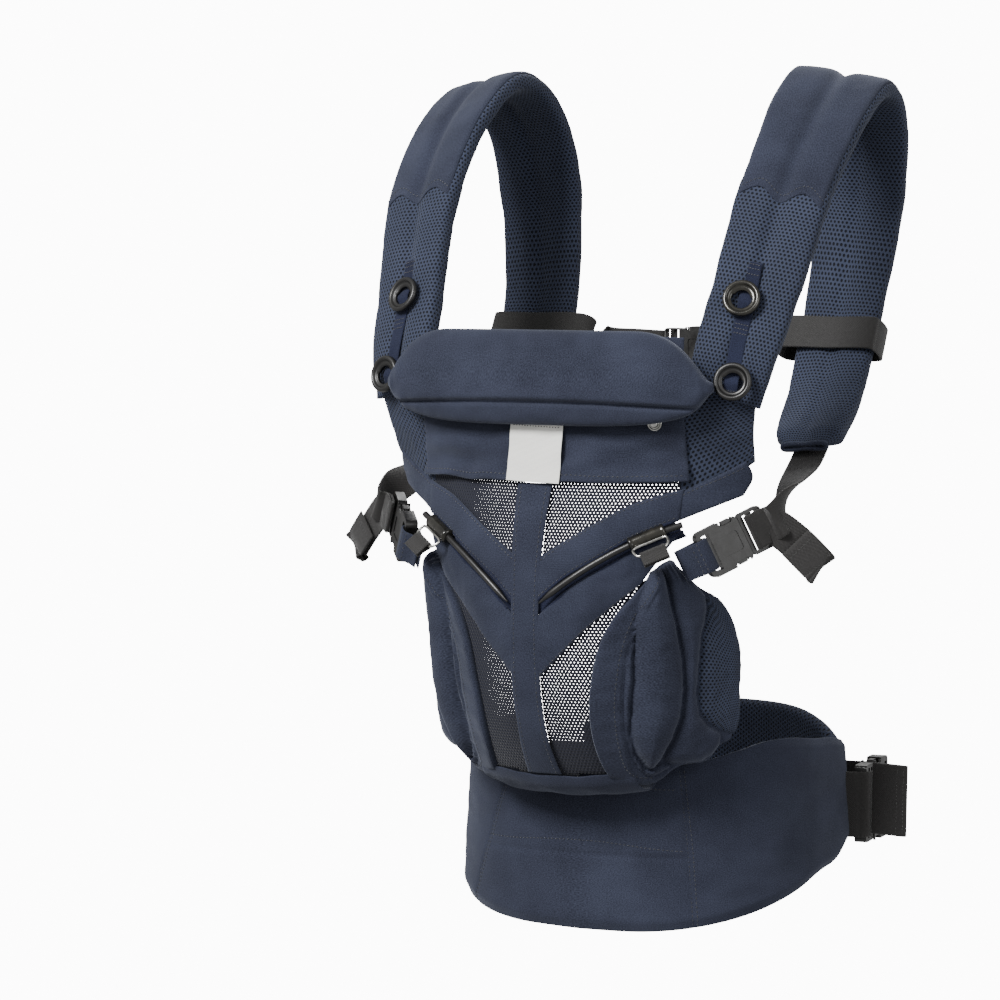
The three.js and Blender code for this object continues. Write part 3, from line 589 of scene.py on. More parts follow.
# ---- Camera and light ----
def add_camera():
    data = bpy.data.cameras.new("camera")
    data.lens = 147.986
    data.sensor_width = 36
    camera = bpy.data.objects.new("camera", data)
    camera.location = (1.40519, -2.67215, 0.50827)
    camera.rotation_euler = (math.radians(90 - 3.966), 0, math.radians(30))
    bpy.context.scene.collection.objects.link(camera)
    bpy.context.scene.camera = camera


def add_lamp(name, spot, target, power, size):
    data = bpy.data.lights.new(name, "AREA")
    data.energy = power
    data.size = size
    lamp = bpy.data.objects.new(name, data)
    lamp.location = spot
    lamp.rotation_euler = (Vector(target) - Vector(spot)).to_track_quat("-Z", "Y").to_euler()
    bpy.context.scene.collection.objects.link(lamp)


def add_studio():
    """A white backdrop to look at, and a softer sky to light the carrier."""
    world = bpy.data.worlds.new("studio")
    world.use_nodes = True
    nodes, links = world.node_tree.nodes, world.node_tree.links
    sky = nodes["Background"]
    sky.inputs["Color"].default_value = (1, 1, 1, 1)
    sky.inputs["Strength"].default_value = 0.62
    seen = nodes.new("ShaderNodeBackground")
    seen.inputs["Color"].default_value = (1, 1, 1, 1)
    seen.inputs["Strength"].default_value = 12
    path, mix = nodes.new("ShaderNodeLightPath"), nodes.new("ShaderNodeMixShader")
    links.new(path.outputs["Is Camera Ray"], mix.inputs[0])
    links.new(sky.outputs[0], mix.inputs[1])
    links.new(seen.outputs[0], mix.inputs[2])
    links.new(mix.outputs[0], nodes["World Output"].inputs["Surface"])
    bpy.context.scene.world = world
    middle = (0, -0.05, 0.3)
    add_lamp("key", (-0.7, -2.7, 2.3), middle, 200, 1.1)
    add_lamp("fill", (2.9, -1.2, 1.3), middle, 42, 2.0)
    add_lamp("rim", (-0.8, 2.2, 2.6), middle, 30, 1.2)



# ---- Front panel ----
UPPER_LOWER_EDGE = [(11.5, 273), (38, 290), (70, 309), (101, 320)]
RAIL_LINE = [(12, 238), (30, 254), (50, 267), (72, 281), (99, 294)]
LOWER_TOP_EDGE = [(12, 190), (42, 221), (62, 240), (77, 254)]
LOWER_OUTER_EDGE = [(76, 252), (62, 230), (52, 207), (46, 180), (44, 150), (45, 119)]


def tucked(edge, x=7.5):
    """The edge with its first point slid down to x, under the centre strip."""
    (ax, az), (bx, bz) = edge[:2]
    return [(x, az - (bz - az) / (bx - ax) * (ax - x))] + edge[1:]


def shifted(edge, dx, dz):
    return [(x + dx, z + dz) for x, z in edge]


def patch(edge_a, edge_b, puff=0.0, ripple=0.5, base=1.2, seed=0.0):
    """A place(t, s, lift) on the panel between two edges."""
    def at(t, s, lift):
        ax, az = through(edge_a, t)
        bx, bz = through(edge_b, t)
        x, z = ax + (bx - ax) * s, az + (bz - az) * s
        crown = puff * math.sin(math.pi * s) ** 0.7 * math.sin(math.pi * min(max(t, 0), 1)) ** 0.4
        wave = ripple * wrinkle((x, 0, z), 17, seed) + 0.4 * ripple * wrinkle((x, 0, z), 6, seed)
        return panel(x, z, base + crown + wave + lift)

    return at


def seam_rows(piece, at, half, rows, pitch=3.4):
    for row in rows:
        piece.stitches(lambda t, s: at(t, s, half), row, 1, pitch=pitch)


def add_centre_strip():
    outer = [(13.5, 322), (11.5, 272), (10.6, 236), (11, 190), (11, 150), (13, 119)]
    inner = [(-x, z) for x, z in outer]
    piece = Piece("centre_strip")
    at = patch(inner, outer, puff=0.5, ripple=0.35, base=2.2, seed=3)
    ts, ss = steps(70, 205, 2), steps(10, 24, 1.6)
    piece.shell(at, ts, ss, (205, 24), 1.6, rim=1.6)
    seam_rows(piece, at, 0.85, [[(0.01, s), (0.5, s), (0.99, s)] for s in (0.13, 0.87)])
    place(piece.make(TWILL, THREAD), "carrier", "centre_strip", slot="navy_twill")


def inside(point, outline):
    x, z = point
    found = False
    for i, (ax, az) in enumerate(outline):
        bx, bz = outline[i - 1]
        if (az > z) != (bz > z) and x < (bx - ax) * (z - az) / (bz - az) + ax:
            found = not found
    return found


def add_window(name, sign, node, outline, lift, pitch=2.5, hole=0.44):
    """A net of round holes on a staggered lattice, cut to an outline of (x, z) points."""
    piece = Piece(node, sign)
    shared = {}

    def corner(x, z):
        key = (round(x, 2), round(z, 2))
        if key not in shared:
            shared[key] = len(piece.points)
            piece.points.append(panel(x, z, lift))
        return shared[key]

    row_gap = pitch * math.sqrt(3) / 2
    reach = pitch / math.sqrt(3)
    xs = [x for x, _ in outline]
    zs = [z for _, z in outline]
    for j in range(int(min(zs) / row_gap), int(max(zs) / row_gap) + 1):
        for i in range(int(min(xs) / pitch), int(max(xs) / pitch) + 1):
            x, z = (i + 0.5 * (j % 2)) * pitch, j * row_gap
            if not inside((x, z), outline):
                continue
            turns = [math.radians(30 + 60 * k) for k in range(6)]
            rim = [corner(x + reach * math.cos(a), z + reach * math.sin(a)) for a in turns]
            first = len(piece.points)
            for a in turns:
                spot = (x + hole * math.cos(a), z + hole * math.sin(a))
                piece.points.append(panel(spot[0], spot[1], lift))
            for k in range(6):
                m = (k + 1) % 6
                piece.face([rim[k], rim[m], first + m, first + k], [(0, 0)] * 4, 0)
    obj = piece.make(NET)
    thick = obj.modifiers.new("thread", "SOLIDIFY")
    thick.thickness = 0.0007
    thick.offset = 0
    place(obj, "carrier", node, slot="navy_mesh")


def add_panel_side(name, sign):
    top = [(9, 328), (101, 328)]
    upper = shifted(UPPER_LOWER_EDGE, 0, -4)
    add_window(name, sign, f"window_upper_{name}", upper + [(104, 318)] + top[::-1], -1)
    inner = [(9, 116), (9, 188)]
    lower = shifted(LOWER_TOP_EDGE, 0, 4) + shifted(LOWER_OUTER_EDGE, 12, 0)
    add_window(name, sign, f"window_lower_{name}", inner + lower, -1)

    piece = Piece(f"rail_band_{name}", sign)
    low, high = tucked(shifted(RAIL_LINE, 0, 4.2)), tucked(shifted(UPPER_LOWER_EDGE, 0, 0))
    at = patch(low, high, 1.6, 0.5, 1.2, seed=5)
    piece.shell(at, steps(50, 110, 2), steps(14, 30, 2), (110, 30), 2, rim=2)
    rows = [[(0.03, 0.9), (0.5, 0.93), (0.97, 0.9)], [(0.03, 0.13), (0.5, 0.1), (0.97, 0.13)]]
    seam_rows(piece, at, 1.05, rows)
    place(piece.make(TWILL, THREAD), "carrier", f"rail_band_{name}", slot="navy_twill")

    piece = Piece(f"hip_band_{name}", sign)
    low, high = tucked(LOWER_TOP_EDGE), tucked(shifted(RAIL_LINE, 1.4, -3.6))
    at = patch(low, high, 1.8, 1.0, 1.2, seed=9)
    piece.shell(at, steps(50, 100, 2), steps(22, 46, 2), (100, 46), 2, rim=2)
    rows = [[(0.03, 0.04), (0.5, 0.04), (0.97, 0.05)]]
    seam_rows(piece, at, 1.05, rows)
    place(piece.make(TWILL, THREAD), "carrier", f"hip_band_{name}", slot="navy_twill")


def add_yoke():
    bottom = [(-104, 325), (-52, 323), (0, 323.5), (52, 323), (104, 325)]
    top = [(-103, 424), (-52, 425), (0, 425), (52, 425), (103, 424)]

    def at(t, s, lift):
        x, z = through(bottom, t)
        tx, tz = through(top, t)
        x, z = x + (tx - x) * s, z + (tz - z) * s
        z += 1.4 * wrinkle((x, 0, 0), 22, 4) * (1 - s)
        folds = 3.0 * wrinkle((x / 2.6, 0, z), 11, 7) * (1 - ease(z, 350, 372))
        stand = 2.6 * bump(z, 323, 9) * (0.6 + 0.8 * wrinkle((x, 0, 0), 19, 1))
        return panel(x, z, 2.4 + folds + stand + lift)

    piece = Piece("yoke")
    piece.shell(at, steps(110, 212, 2), steps(52, 100, 2), (212, 100), 2.4, rim=2)
    seam_rows(piece, at, 1.25, [[(0.01, 0.045), (0.5, 0.045), (0.99, 0.045)]])
    place(piece.make(TWILL, THREAD), "carrier", "yoke", slot="navy_twill")

    def on_label(t, s, lift):
        x, z = -21 + 41 * s, 322.5 + 42 * t
        droop = 1.2 * wrinkle((x, 0, z), 16, 2)
        return panel(x, z - 1.5 * s, 6.2 + droop + lift)

    piece = Piece("label")
    piece.shell(on_label, steps(16, 41, 1), steps(16, 43, 1), (41, 43), 0.9, rim=0.8)
    row = [(0.93, 0.05), (0.93, 0.5), (0.93, 0.95)]
    piece.stitches(lambda t, s: on_label(t, s, 0.45), row, 1, pitch=2.2, length=1.5)
    place(piece.make(LABEL, THREAD), "carrier", "label", slot="white_label")


def lathe(piece, profile, matrix, sides=40, slot=0):
    """A turned shape from (radius, height) points; the axis is the matrix's third."""
    def at(t, s):
        radius, height = profile[round(t * (len(profile) - 1))]
        turn = 2 * math.pi * s
        return matrix @ Vector((radius * math.cos(turn), radius * math.sin(turn), height))

    count = len(profile) - 1
    grid = piece.grid(at, steps(count), steps(sides), (10, 10), slot, wrap=True)
    piece.cap(grid, False, slot)
    piece.cap(grid, True, slot)


def add_hood_snap():
    spot = panel(84, 365, 3.4)
    outward = spot - panel(84, 365, 0)
    matrix = local_axes(spot, Vector((1, 0.3, 0)), outward)
    piece = Piece("hood_snap")
    profile = [
        (0.2, 0), (5, 0), (5.2, 0.6), (4.9, 1.3), (4.2, 1.5), (3.6, 0.9), (3.0, 0.9),
        (2.6, 1.6), (2.5, 3.2), (2.1, 3.7), (1.3, 3.8), (0.2, 3.8),
    ]
    lathe(piece, profile, matrix)
    place(piece.make(STEEL), "carrier", "hood_snap", slot="steel")


def add_side_mesh(name, sign):
    inner = [(98, 394), (98, 368), (98, 340), (98, 304)]
    outer = [(150, 394), (150, 378), (147, 360), (144, 338)]
    piece = Piece(f"side_mesh_{name}", sign)
    at = patch(inner, outer, 1.0, 1.2, -1.6, seed=12)
    piece.shell(at, steps(36, 76, 2), steps(26, 47, 2), (76, 47), 2.4, rim=2.4)
    place(piece.make(MESH), "carrier", f"side_mesh_{name}", slot="navy_mesh")

    inner = [(98, 317), (97, 306), (95, 296)]
    outer = [(139, 339), (141, 328), (135, 315)]
    piece = Piece(f"corner_patch_{name}", sign)
    at = patch(inner, outer, 0.8, 0.8, 0.0, seed=14)
    piece.shell(at, steps(16, 27, 2), steps(16, 34, 2), (27, 34), 2.4, rim=2)
    seam_rows(piece, at, 1.25, [[(0.12, 0.04), (0.12, 0.5), (0.12, 0.96)]])
    place(piece.make(TWILL, THREAD), "carrier", f"corner_patch_{name}", slot="navy_twill")


def add_seat_base():
    section = [
        (-174, 116, 0.0042), (-169, 108, 0.004), (-157, 102, 0.0036), (-145, 101, 0.003),
        (-133, 105, 0.0022),
    ]

    def at(t, s, lift):
        y, z, bow = through(section, t)
        x = (2 * s - 1) * 62
        fold = 1.2 * wrinkle((x, y, 0), 16, 21)
        return Vector((x, y + bow * x * x - lift * (1 - t), z + 0.0012 * x * x - lift * t + fold))

    piece = Piece("seat_base")
    piece.shell(at, steps(20, 50, 2), steps(50, 124, 2), (50, 124), 2.6, rim=2)
    place(piece.make(TWILL), "carrier", "seat_base", slot="navy_twill")


# ---- Leg wings ----
WING_LEVELS = [
    (104, 56, 92, 96, -124), (112, 50, 106, 108, -120), (130, 47.5, 118, 117, -117),
    (155, 47.5, 125, 123, -115), (180, 50, 127, 125, -115), (205, 56, 127, 125, -116),
    (228, 66, 124, 121, -121), (245, 77, 118, 115, -133), (257, 84, 110, 108, -147),
    (268, 86, 98, 103, -153),
]


def wing_point(level, share, lift):
    front_x, turn_x, rear_x, rear_y = smooth(WING_LEVELS, level)
    front = panel(front_x, level, 0)
    turn = panel(turn_x, level, 0)
    rear = Vector((rear_x, rear_y, level))
    curve = front * (1 - share) ** 2 + turn * 2 * share * (1 - share) + rear * share ** 2
    tangent = (turn - front) * (1 - share) + (rear - turn) * share
    outward = Vector((tangent.y, -tangent.x, 0)).normalized()
    return curve + outward * lift


WING_WIDTH = 96
WING_TOP = [(-8, 262), (10, 267), (30, 270), (46, 270), (56, 264), (64, 253), (80, 247), (96, 243)]
WING_FLOOR = [
    (-4, 116), (4, 111), (12, 110.5), (21, 115), (28, 122), (36, 126), (48, 126.5), (56, 130),
    (64, 138), (80, 142), (96, 143),
]
# Puffed parts of the wing, as outlines of (distance from the front edge, height): the front
# lobe, the lobe round its side, the mesh gusset behind, and the pleat beside the front lobe.
FRONT_LOBE = [
    (-7, 262), (3, 237), (8.5, 212), (10.6, 187), (10, 168), (9, 149), (10, 134), (14, 123.5),
    (17, 123), (21, 130), (27, 145), (31, 161), (32.6, 180), (30.5, 205), (25.5, 229), (16, 252),
    (9, 266),
]
SIDE_LOBE = [
    (12, 266), (18, 253), (27, 230), (32, 205), (34, 180), (32.5, 161), (28.5, 145), (22.5, 131),
    (26, 127), (34, 127), (47, 127.5), (55, 131), (63, 139), (62, 147), (49, 153), (42.5, 161),
    (40.4, 176), (41, 193), (43.5, 218), (50, 232), (59, 245), (56, 258), (46, 270), (28, 270),
]
GUSSET = [
    (60, 243), (51, 230), (45, 217), (42.5, 193), (42, 176), (44, 163), (50, 155.5), (62, 149.5),
    (80, 147), (98, 146), (98, 246), (78, 247),
]
PLEAT = [
    (4, 238), (6, 213), (6, 193), (6.6, 174), (6.4, 155), (7.2, 136), (9.6, 123), (13.5, 117),
    (20, 119), (27, 125), (20, 127), (15.5, 121), (12, 122.5), (8.6, 134), (7.8, 149),
    (8.8, 168), (9.4, 187), (7.4, 212),
]


def depth_inside(point, outline):
    """How far inside an outline a point lies, negative outside it."""
    nearest = 1e9
    px, py = point
    for k, (ax, ay) in enumerate(outline):
        bx, by = outline[k - 1]
        dx, dy = bx - ax, by - ay
        along = min(max(((px - ax) * dx + (py - ay) * dy) / (dx * dx + dy * dy), 0), 1)
        nearest = min(nearest, math.hypot(px - ax - dx * along, py - ay - dy * along))
    return nearest if inside(point, outline) else -nearest


def dome(depth, height, reach):
    if depth <= 0:
        return 0.0
    return height * math.sqrt(1 - (1 - min(depth / reach, 1)) ** 2)


@functools.lru_cache(maxsize=None)
def wing_relief(from_edge, level):
    """How far the wing's cloth stands out over its lobes, pleat and flat edge strip."""
    spot = (from_edge, level)
    crease = -1.0 * bump(depth_inside(spot, PLEAT), -0.2, 0.8)
    parts = (
        dome(depth_inside(spot, FRONT_LOBE), 11.5, 13), dome(depth_inside(spot, SIDE_LOBE), 6, 9),
        dome(depth_inside(spot, GUSSET), 3.5, 14), dome(depth_inside(spot, PLEAT), 3, 2.2),
    )
    strip = 1.4 * ease(6.5 - from_edge, 0, 1)
    return 1.2 - 7 * ease(from_edge, 26, 66) + max(parts) + strip + crease


def add_wing(name, sign):
    def spot(t, s):
        from_edge = (s * 1.06 - 0.06) * WING_WIDTH
        low, high = smooth(WING_FLOOR, from_edge)[0], smooth(WING_TOP, from_edge)[0]
        return from_edge, low + (high - low) * t

    def at(t, s, lift):
        from_edge, level = spot(t, s)
        skin = wing_relief(round(from_edge, 2), round(level, 2))
        fold = 0.7 * wrinkle((from_edge, 0, level / 2.4), 10, 31)
        fold += 0.5 * wrinkle((from_edge, 0, level), 7, 33)
        reach = from_edge + 3 - 3 * ease(level, 180, 255) * (1 - s)
        if lift > 0:
            gather = 0.8 * math.sin(from_edge * 0.7) * ease(level, 246, 266)
            return wing_point(level, reach / WING_WIDTH, skin + fold + gather + lift)
        return wing_point(level, reach / WING_WIDTH, min(-1.5, skin - 4) + lift)

    piece = Piece(f"wing_{name}", sign)
    ts, ss = steps(130, 150, 2), steps(112, 102, 2)
    piece.shell(at, ts, ss, (150, 102), 2.0, rim=2.5)
    for i, uvs in enumerate(piece.uvs):
        middle = [sum(c[k] for c in uvs) / len(uvs) for k in (0, 1)]
        if piece.slots[i] == 0 and depth_inside(spot(middle[1] / 150, middle[0] / 102), GUSSET) > 0:
            piece.slots[i] = 2
    rows = [[(0.97, 0.085), (0.6, 0.085), (0.2, 0.085), (0.06, 0.1), (0.03, 0.2)]]
    seam_rows(piece, at, 1.05, rows)
    obj = piece.make(TWILL, THREAD, MESH)
    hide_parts(f"wing_{name}")
    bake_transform(obj)


# ---- Rails, sliders and their loops ----
def rail_path(start, end, count, lift=0.0):
    found = []
    for i in range(count + 1):
        point, outward, _ = rail_frame(start + (end - start) * i / count)
        found.append(point + outward * lift)
    return found


def add_rail_set(name, sign):
    piece = Piece(f"rail_{name}", sign)

    def taper(share):
        return 2.3 * min(1, 0.25 + 7 * share)

    piece.tube(rail_path(0, RAIL_SWEEP + 0.05, 60), taper, 14)

    def bed(t, s, lift):
        x, z = through(tucked(RAIL_LINE), t)
        across = (s - 0.5) * 17
        return panel(x - 0.6 * across, z + 0.8 * across, -1.2 + lift)

    piece.shell(bed, steps(40, 110, 1), steps(8, 15, 1), (110, 15), 1.6, rim=1, slot=1)
    for edge, height in ((-4.6, 1.2), (4.6, 1.6)):
        lip = []
        for i in range(61):
            x, z = through(RAIL_LINE, i / 60)
            lip.append(panel(x - 0.6 * edge, z + 0.8 * edge, height))
        piece.tube(lip, 1.3, 8, slot=1)
    place(piece.make(PLASTIC, TWILL_DARK), "carrier", f"rail_{name}", slot="black_plastic")

    half = SLEEVE_LENGTH / 2 / RAIL_RADIUS
    piece = Piece(f"slider_{name}", sign)

    def sleeve(share):
        collar = 0.45 * (bump(share, 0.06, 0.03) + bump(share, 0.94, 0.03))
        return 4.9 * min(1, 0.72 + 9 * min(share, 1 - share)) + collar

    piece.tube(rail_path(SLIDE_START - half, SLIDE_START + half, 40), sleeve, 24)
    place(piece.make(PEWTER), f"slider_{name}", f"slider_{name}", slot="black_plastic")

    point, outward, tangent = rail_frame(SLIDE_START)
    fall = tangent.cross(outward).normalized()
    fall = fall if fall.z < 0 else -fall
    hang = point + fall * 5.6

    def corner(u, w, o=1.0):
        return hang + tangent * u + fall * w + outward * o

    shape = [(-13, 1.4), (-12.6, 5), (-11, 8.6), (-6, 10), (0, 10.4), (6, 10), (11, 8.6), (12.6, 5)]
    shape += [(13, 1.4), (10, 0.2), (4, 0.2), (0, 0.3), (-4, 0.2), (-10, 0.2)]
    loop = []
    for k in range(len(shape)):
        previous, here, ahead = shape[k - 1], shape[k], shape[(k + 1) % len(shape)]
        for part in (0.0, 0.34, 0.67):
            start = [(p + h) / 2 for p, h in zip(previous, here)]
            end = [(h + a) / 2 for h, a in zip(here, ahead)]
            u, w = [
                s * (1 - part) ** 2 + 2 * h * part * (1 - part) + e * part ** 2
                for s, h, e in zip(start, here, end)
            ]
            loop.append(corner(u, w))
    piece = Piece(f"slider_ring_{name}", sign)
    piece.tube(loop, 1.0, 10, closed=True, guide=outward)
    place(piece.make(STEEL), f"slider_{name}", f"slider_ring_{name}", slot="steel")

    route = [corner(0, w, o) for w, o in (
        (20, 0.2), (13, -0.2), (9.8, -0.9), (7.2, 1), (9.8, 3), (13, 2.7), (20, 2.3),
    )]
    ribbon(f"wing_loop_{name}", route, [tangent] * 7, 19, 1.3, 40, sign, f"slider_{name}")


def ribbon_place(points, widths, width, fray=0.0):
    def at(t, s, lift):
        here = Vector(through(points, t))
        step = 0.004
        ahead = Vector(through(points, min(t + step, 1)))
        tangent = (ahead - Vector(through(points, max(t - step, 0)))).normalized()
        across = Vector(through(widths, t))
        across = (across - tangent * across.dot(tangent)).normalized()
        normal = across.cross(tangent)
        wave = fray * wrinkle((s * width, 0, t * 100), 9, 41)
        return here + across * (s - 0.5) * width + normal * (lift + wave)

    return at


def path_length(points):
    spots = [Vector(through(points, i / 100)) for i in range(101)]
    return sum((b - a).length for a, b in zip(spots, spots[1:]))


def ribbon(name, points, widths, width, thickness, count, sign, body, seams=(), nodes=None):
    """Webbing along a route, with rounded edges and rows of stitching."""
    length = path_length(points)
    at = ribbon_place(points, widths, width)
    piece = Piece(name, sign)
    piece.shell(at, steps(count), steps(10, width, 0.8), (length, width), thickness, rim=0.8)
    for row in seams:
        for lift in (thickness / 2, -thickness / 2):
            piece.stitches(lambda t, s, h=lift: at(t, s, h), row, 1, pitch=2.6, length=1.9)
    obj = piece.make(WEBBING, THREAD_BLACK)
    if body:
        place(obj, body, *(nodes or [name]), slot="black_webbing")
    return obj


def box_stitch(low, high):
    """A stitched box with its diagonals between two shares of a ribbon's length."""
    corners = [(low, 0.14), (low, 0.86), (high, 0.86), (high, 0.14), (low, 0.14)]
    rows = [[a, b] for a, b in zip(corners, corners[1:])]
    return rows + [[(low, 0.14), (high, 0.86)], [(low, 0.86), (high, 0.14)]]


# ---- Buckles ----
SIDE_BUCKLE = dict(width=34, webbing=25, thickness=9, female=33, male=18, play=0.6)
WAIST_BUCKLE = dict(width=60, webbing=50, thickness=11, female=36, male=20, play=1.7)
CROSS_BUCKLE = dict(width=32, webbing=25, thickness=8, female=26, male=16, play=0.5)


def plate(outline, low, high):
    """A closed prism over an outline of (u, v) points."""
    work = bmesh.new()
    floor = [work.verts.new((u, v, low)) for u, v in outline]
    roof = [work.verts.new((u, v, high)) for u, v in outline]
    work.faces.new(floor)
    work.faces.new(roof)
    for k in range(len(outline)):
        m = (k + 1) % len(outline)
        work.faces.new((floor[k], floor[m], roof[m], roof[k]))
    bmesh.ops.recalc_face_normals(work, faces=work.faces)
    mesh = bpy.data.meshes.new("work")
    work.to_mesh(mesh)
    work.free()
    obj = bpy.data.objects.new("work", mesh)
    bpy.context.scene.collection.objects.link(obj)
    return obj


def slab(u0, u1, v0, v1, n0, n1):
    return plate([(u0, v0), (u1, v0), (u1, v1), (u0, v1)], n0, n1)


def rounded(u0, u1, v0, v1, radius, corners=6):
    found = []
    for cu, cv, first in (
        (u1 - radius, v0 + radius, -90), (u1 - radius, v1 - radius, 0),
        (u0 + radius, v1 - radius, 90), (u0 + radius, v0 + radius, 180),
    ):
        for k in range(corners + 1):
            turn = math.radians(first + 90 * k / corners)
            found.append((cu + radius * math.cos(turn), cv + radius * math.sin(turn)))
    return found


def carve(body, tools, operation="DIFFERENCE"):
    """Applies booleans and throws the tools away."""
    for tool in tools:
        step = body.modifiers.new("cut", "BOOLEAN")
        step.operation = operation
        step.solver = "EXACT"
        step.object = tool
        apply_modifiers(body)
        bpy.data.objects.remove(tool)
    return body


def apply_modifiers(obj):
    graph = bpy.context.evaluated_depsgraph_get()
    mesh = bpy.data.meshes.new_from_object(obj.evaluated_get(graph))
    obj.modifiers.clear()
    old = obj.data
    obj.data = mesh
    bpy.data.meshes.remove(old)


def finish_hard(obj, name, matrix, sign, material, radius=0.7):
    """Rounds a moulded piece's edges and moves it from its own axes into place."""
    ease_edges = obj.modifiers.new("edges", "BEVEL")
    ease_edges.width = radius
    ease_edges.segments = 2
    ease_edges.limit_method = "ANGLE"
    ease_edges.angle_limit = math.radians(35)
    apply_modifiers(obj)
    mirror = Matrix.Diagonal((sign, 1, 1, 1))
    obj.data.transform(Matrix.Scale(MM, 4) @ mirror @ matrix)
    if sign < 0:
        obj.data.flip_normals()
    obj.name = name + MADE
    obj.data.name = name + MADE
    obj.data.materials.clear()
    obj.data.materials.append(material)
    for polygon in obj.data.polygons:
        polygon.use_smooth = True
    edges = obj.modifiers.new("shading", "WEIGHTED_NORMAL")
    edges.keep_sharp = False
    return obj


def female_half(b):
    half = b["width"] / 2
    length, thick = b["female"], b["thickness"]
    body = plate(rounded(0, length, -half, half, 4.5), -thick / 2, thick / 2)
    mouth = thick / 2 - 1.7
    reach = b["webbing"] / 2 + 0.8
    tools = [slab(3.8, 9.5, -reach, reach, -thick, thick)]
    tools.append(slab(13, length + 1, 3.2 - half, half - 3.2, -mouth, mouth))
    tools.append(slab(18, length + 1, -half - 1, half + 1, -mouth, mouth))
    scoop_radius = min(3, (length - 21.5) / 2.4)
    for edge in (-1, 1):
        scoop = rounded(19, length - 2.5, half - 3.6, half + 6, scoop_radius)
        scoop = [(u, v * edge) for u, v in scoop]
        for n in (-1, 1):
            low, high = sorted((n * (thick / 2 - 1.75), n * thick))
            tools.append(plate(scoop, low, high))
    for n in (-1, 1):
        low, high = sorted((n * (thick / 2 - 0.6), n * thick))
        tools.append(plate(rounded(13.5, length - 4, -half * 0.42, half * 0.42, 2), low, high))
    return carve(body, tools)


def male_half(b):
    half = b["width"] / 2
    plate_half = b["thickness"] / 2 - 1.7 - b["play"]
    start = b["female"] + 0.5
    frame_half = b["thickness"] / 2 - 1
    end = start + b["male"]
    body = plate(rounded(start, end, 1.5 - half, half - 1.5, 3), -frame_half, frame_half)
    inner = b["webbing"] / 2 + 0.8
    tools = [slab(start + 3.5, start + 7.5, -inner, inner, -20, 20)]
    tools.append(slab(start + 10.5, start + 14.5, -inner, inner, -20, 20))
    carve(body, tools)
    parts = [slab(16, start + 1, -2, 2, -plate_half, plate_half)]
    tip = 18.6
    for edge in (-1, 1):
        arm = [
            (tip, half - 8), (tip + 2.5, half - 6.2), (tip + 3.2, half - 0.6),
            (tip + (b["female"] - 18) * 0.62, half - 0.6), (b["female"] - 3, half - 4.6),
            (start + 1, half - 4.6), (start + 1, half - 8.2), (tip + 6, half - 8.2),
        ]
        parts.append(plate([(u, v * edge) for u, v in arm], -plate_half, plate_half))
    return carve(body, parts, "UNION")


def add_buckle(b, matrix, sign, female, male, bodies):
    for build, name, body in ((female_half, female, bodies[0]), (male_half, male, bodies[1])):
        obj = finish_hard(build(b), name, matrix, sign, PLASTIC)
        place(obj, body, name, slot="black_plastic")


def side_buckle_axes():
    origin = panel(111, 274, 11.5)
    return local_axes(origin, Vector((0.62, 0.66, 0.42)), Vector((0.66, -0.75, 0.07)))


def add_side_buckle(name, sign):
    axes = side_buckle_axes()
    female, male = f"side_buckle_female_{name}", f"side_buckle_male_{name}"
    add_buckle(SIDE_BUCKLE, axes, sign, female, male, ("carrier", f"side_release_{name}"))

    def at(u, v, n):
        return axes @ Vector((u, v, n))

    across = axes.to_3x3() @ Vector((0, 1, 0))
    tab = [
        at(-15, 0, -6.4), at(-4, 0, -6.3), at(3, 0, -6), at(6.5, 0, -3), at(6.7, 0, 3),
        at(3, 0, 6), at(-3, 0, 5.2), at(-9, 0, -1), at(-14, 0, -4),
    ]
    length = path_length(tab)
    shape = ribbon_place(tab, [across] * 9, 23)
    piece = Piece(f"buckle_tab_{name}", sign)
    piece.shell(shape, steps(60), steps(8, 23, 1), (length, 23), 1.6, rim=1)
    for share in (0.72, 0.78):
        row = [(share, 0.06), (share, 0.5), (share, 0.94)]
        piece.stitches(lambda t, s: shape(t, s, 0.8), row, 1)
    place(piece.make(TWILL, THREAD), "carrier", f"buckle_tab_{name}", slot="navy_twill")

    centre, tangent, _, normal, _ = strap_frame(STRAP_END)
    sewn = strap_point(STRAP_END - 1.7, 0.5, STRAP_HALF + 1.4)
    leaving = centre + normal * (STRAP_HALF + 1.6) + tangent * 3
    side, twist = Vector((1, 0, 0)), Vector((0.75, 0.1, 0.4))
    tail_across = Vector((0.5, 0.3, 0.75))
    route = [
        sewn, leaving, Vector((152, -96, 320)), at(59, 2, 12), at(50, 0, 5.6), at(41, 0, 5.4),
        at(37.5, 0, 6.6), at(41, 0, 7.9), at(52, -1, 8.6), Vector((171, -128, 284)),
        Vector((186, -122, 268)), Vector((187.4, -124.4, 266.4)), Vector((186, -126.6, 269.5)),
        Vector((173, -132.4, 284)),
    ]
    widths = [side, side, twist] + [across] * 6 + [tail_across] * 5
    seams = box_stitch(0.03, 0.1) + [[(0.9, 0.06), (0.9, 0.94)], [(0.98, 0.06), (0.98, 0.94)]]
    obj = ribbon(f"strap_webbing_{name}", route, widths, 25, 1.9, 140, sign, None, seams)
    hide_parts(f"strap_webbing_{name}")
    start = [c * MM for c in leaving]
    end = [c * MM for c in at(52, 0, 8)]
    start[0], end[0] = start[0] * sign, end[0] * sign
    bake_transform(obj)


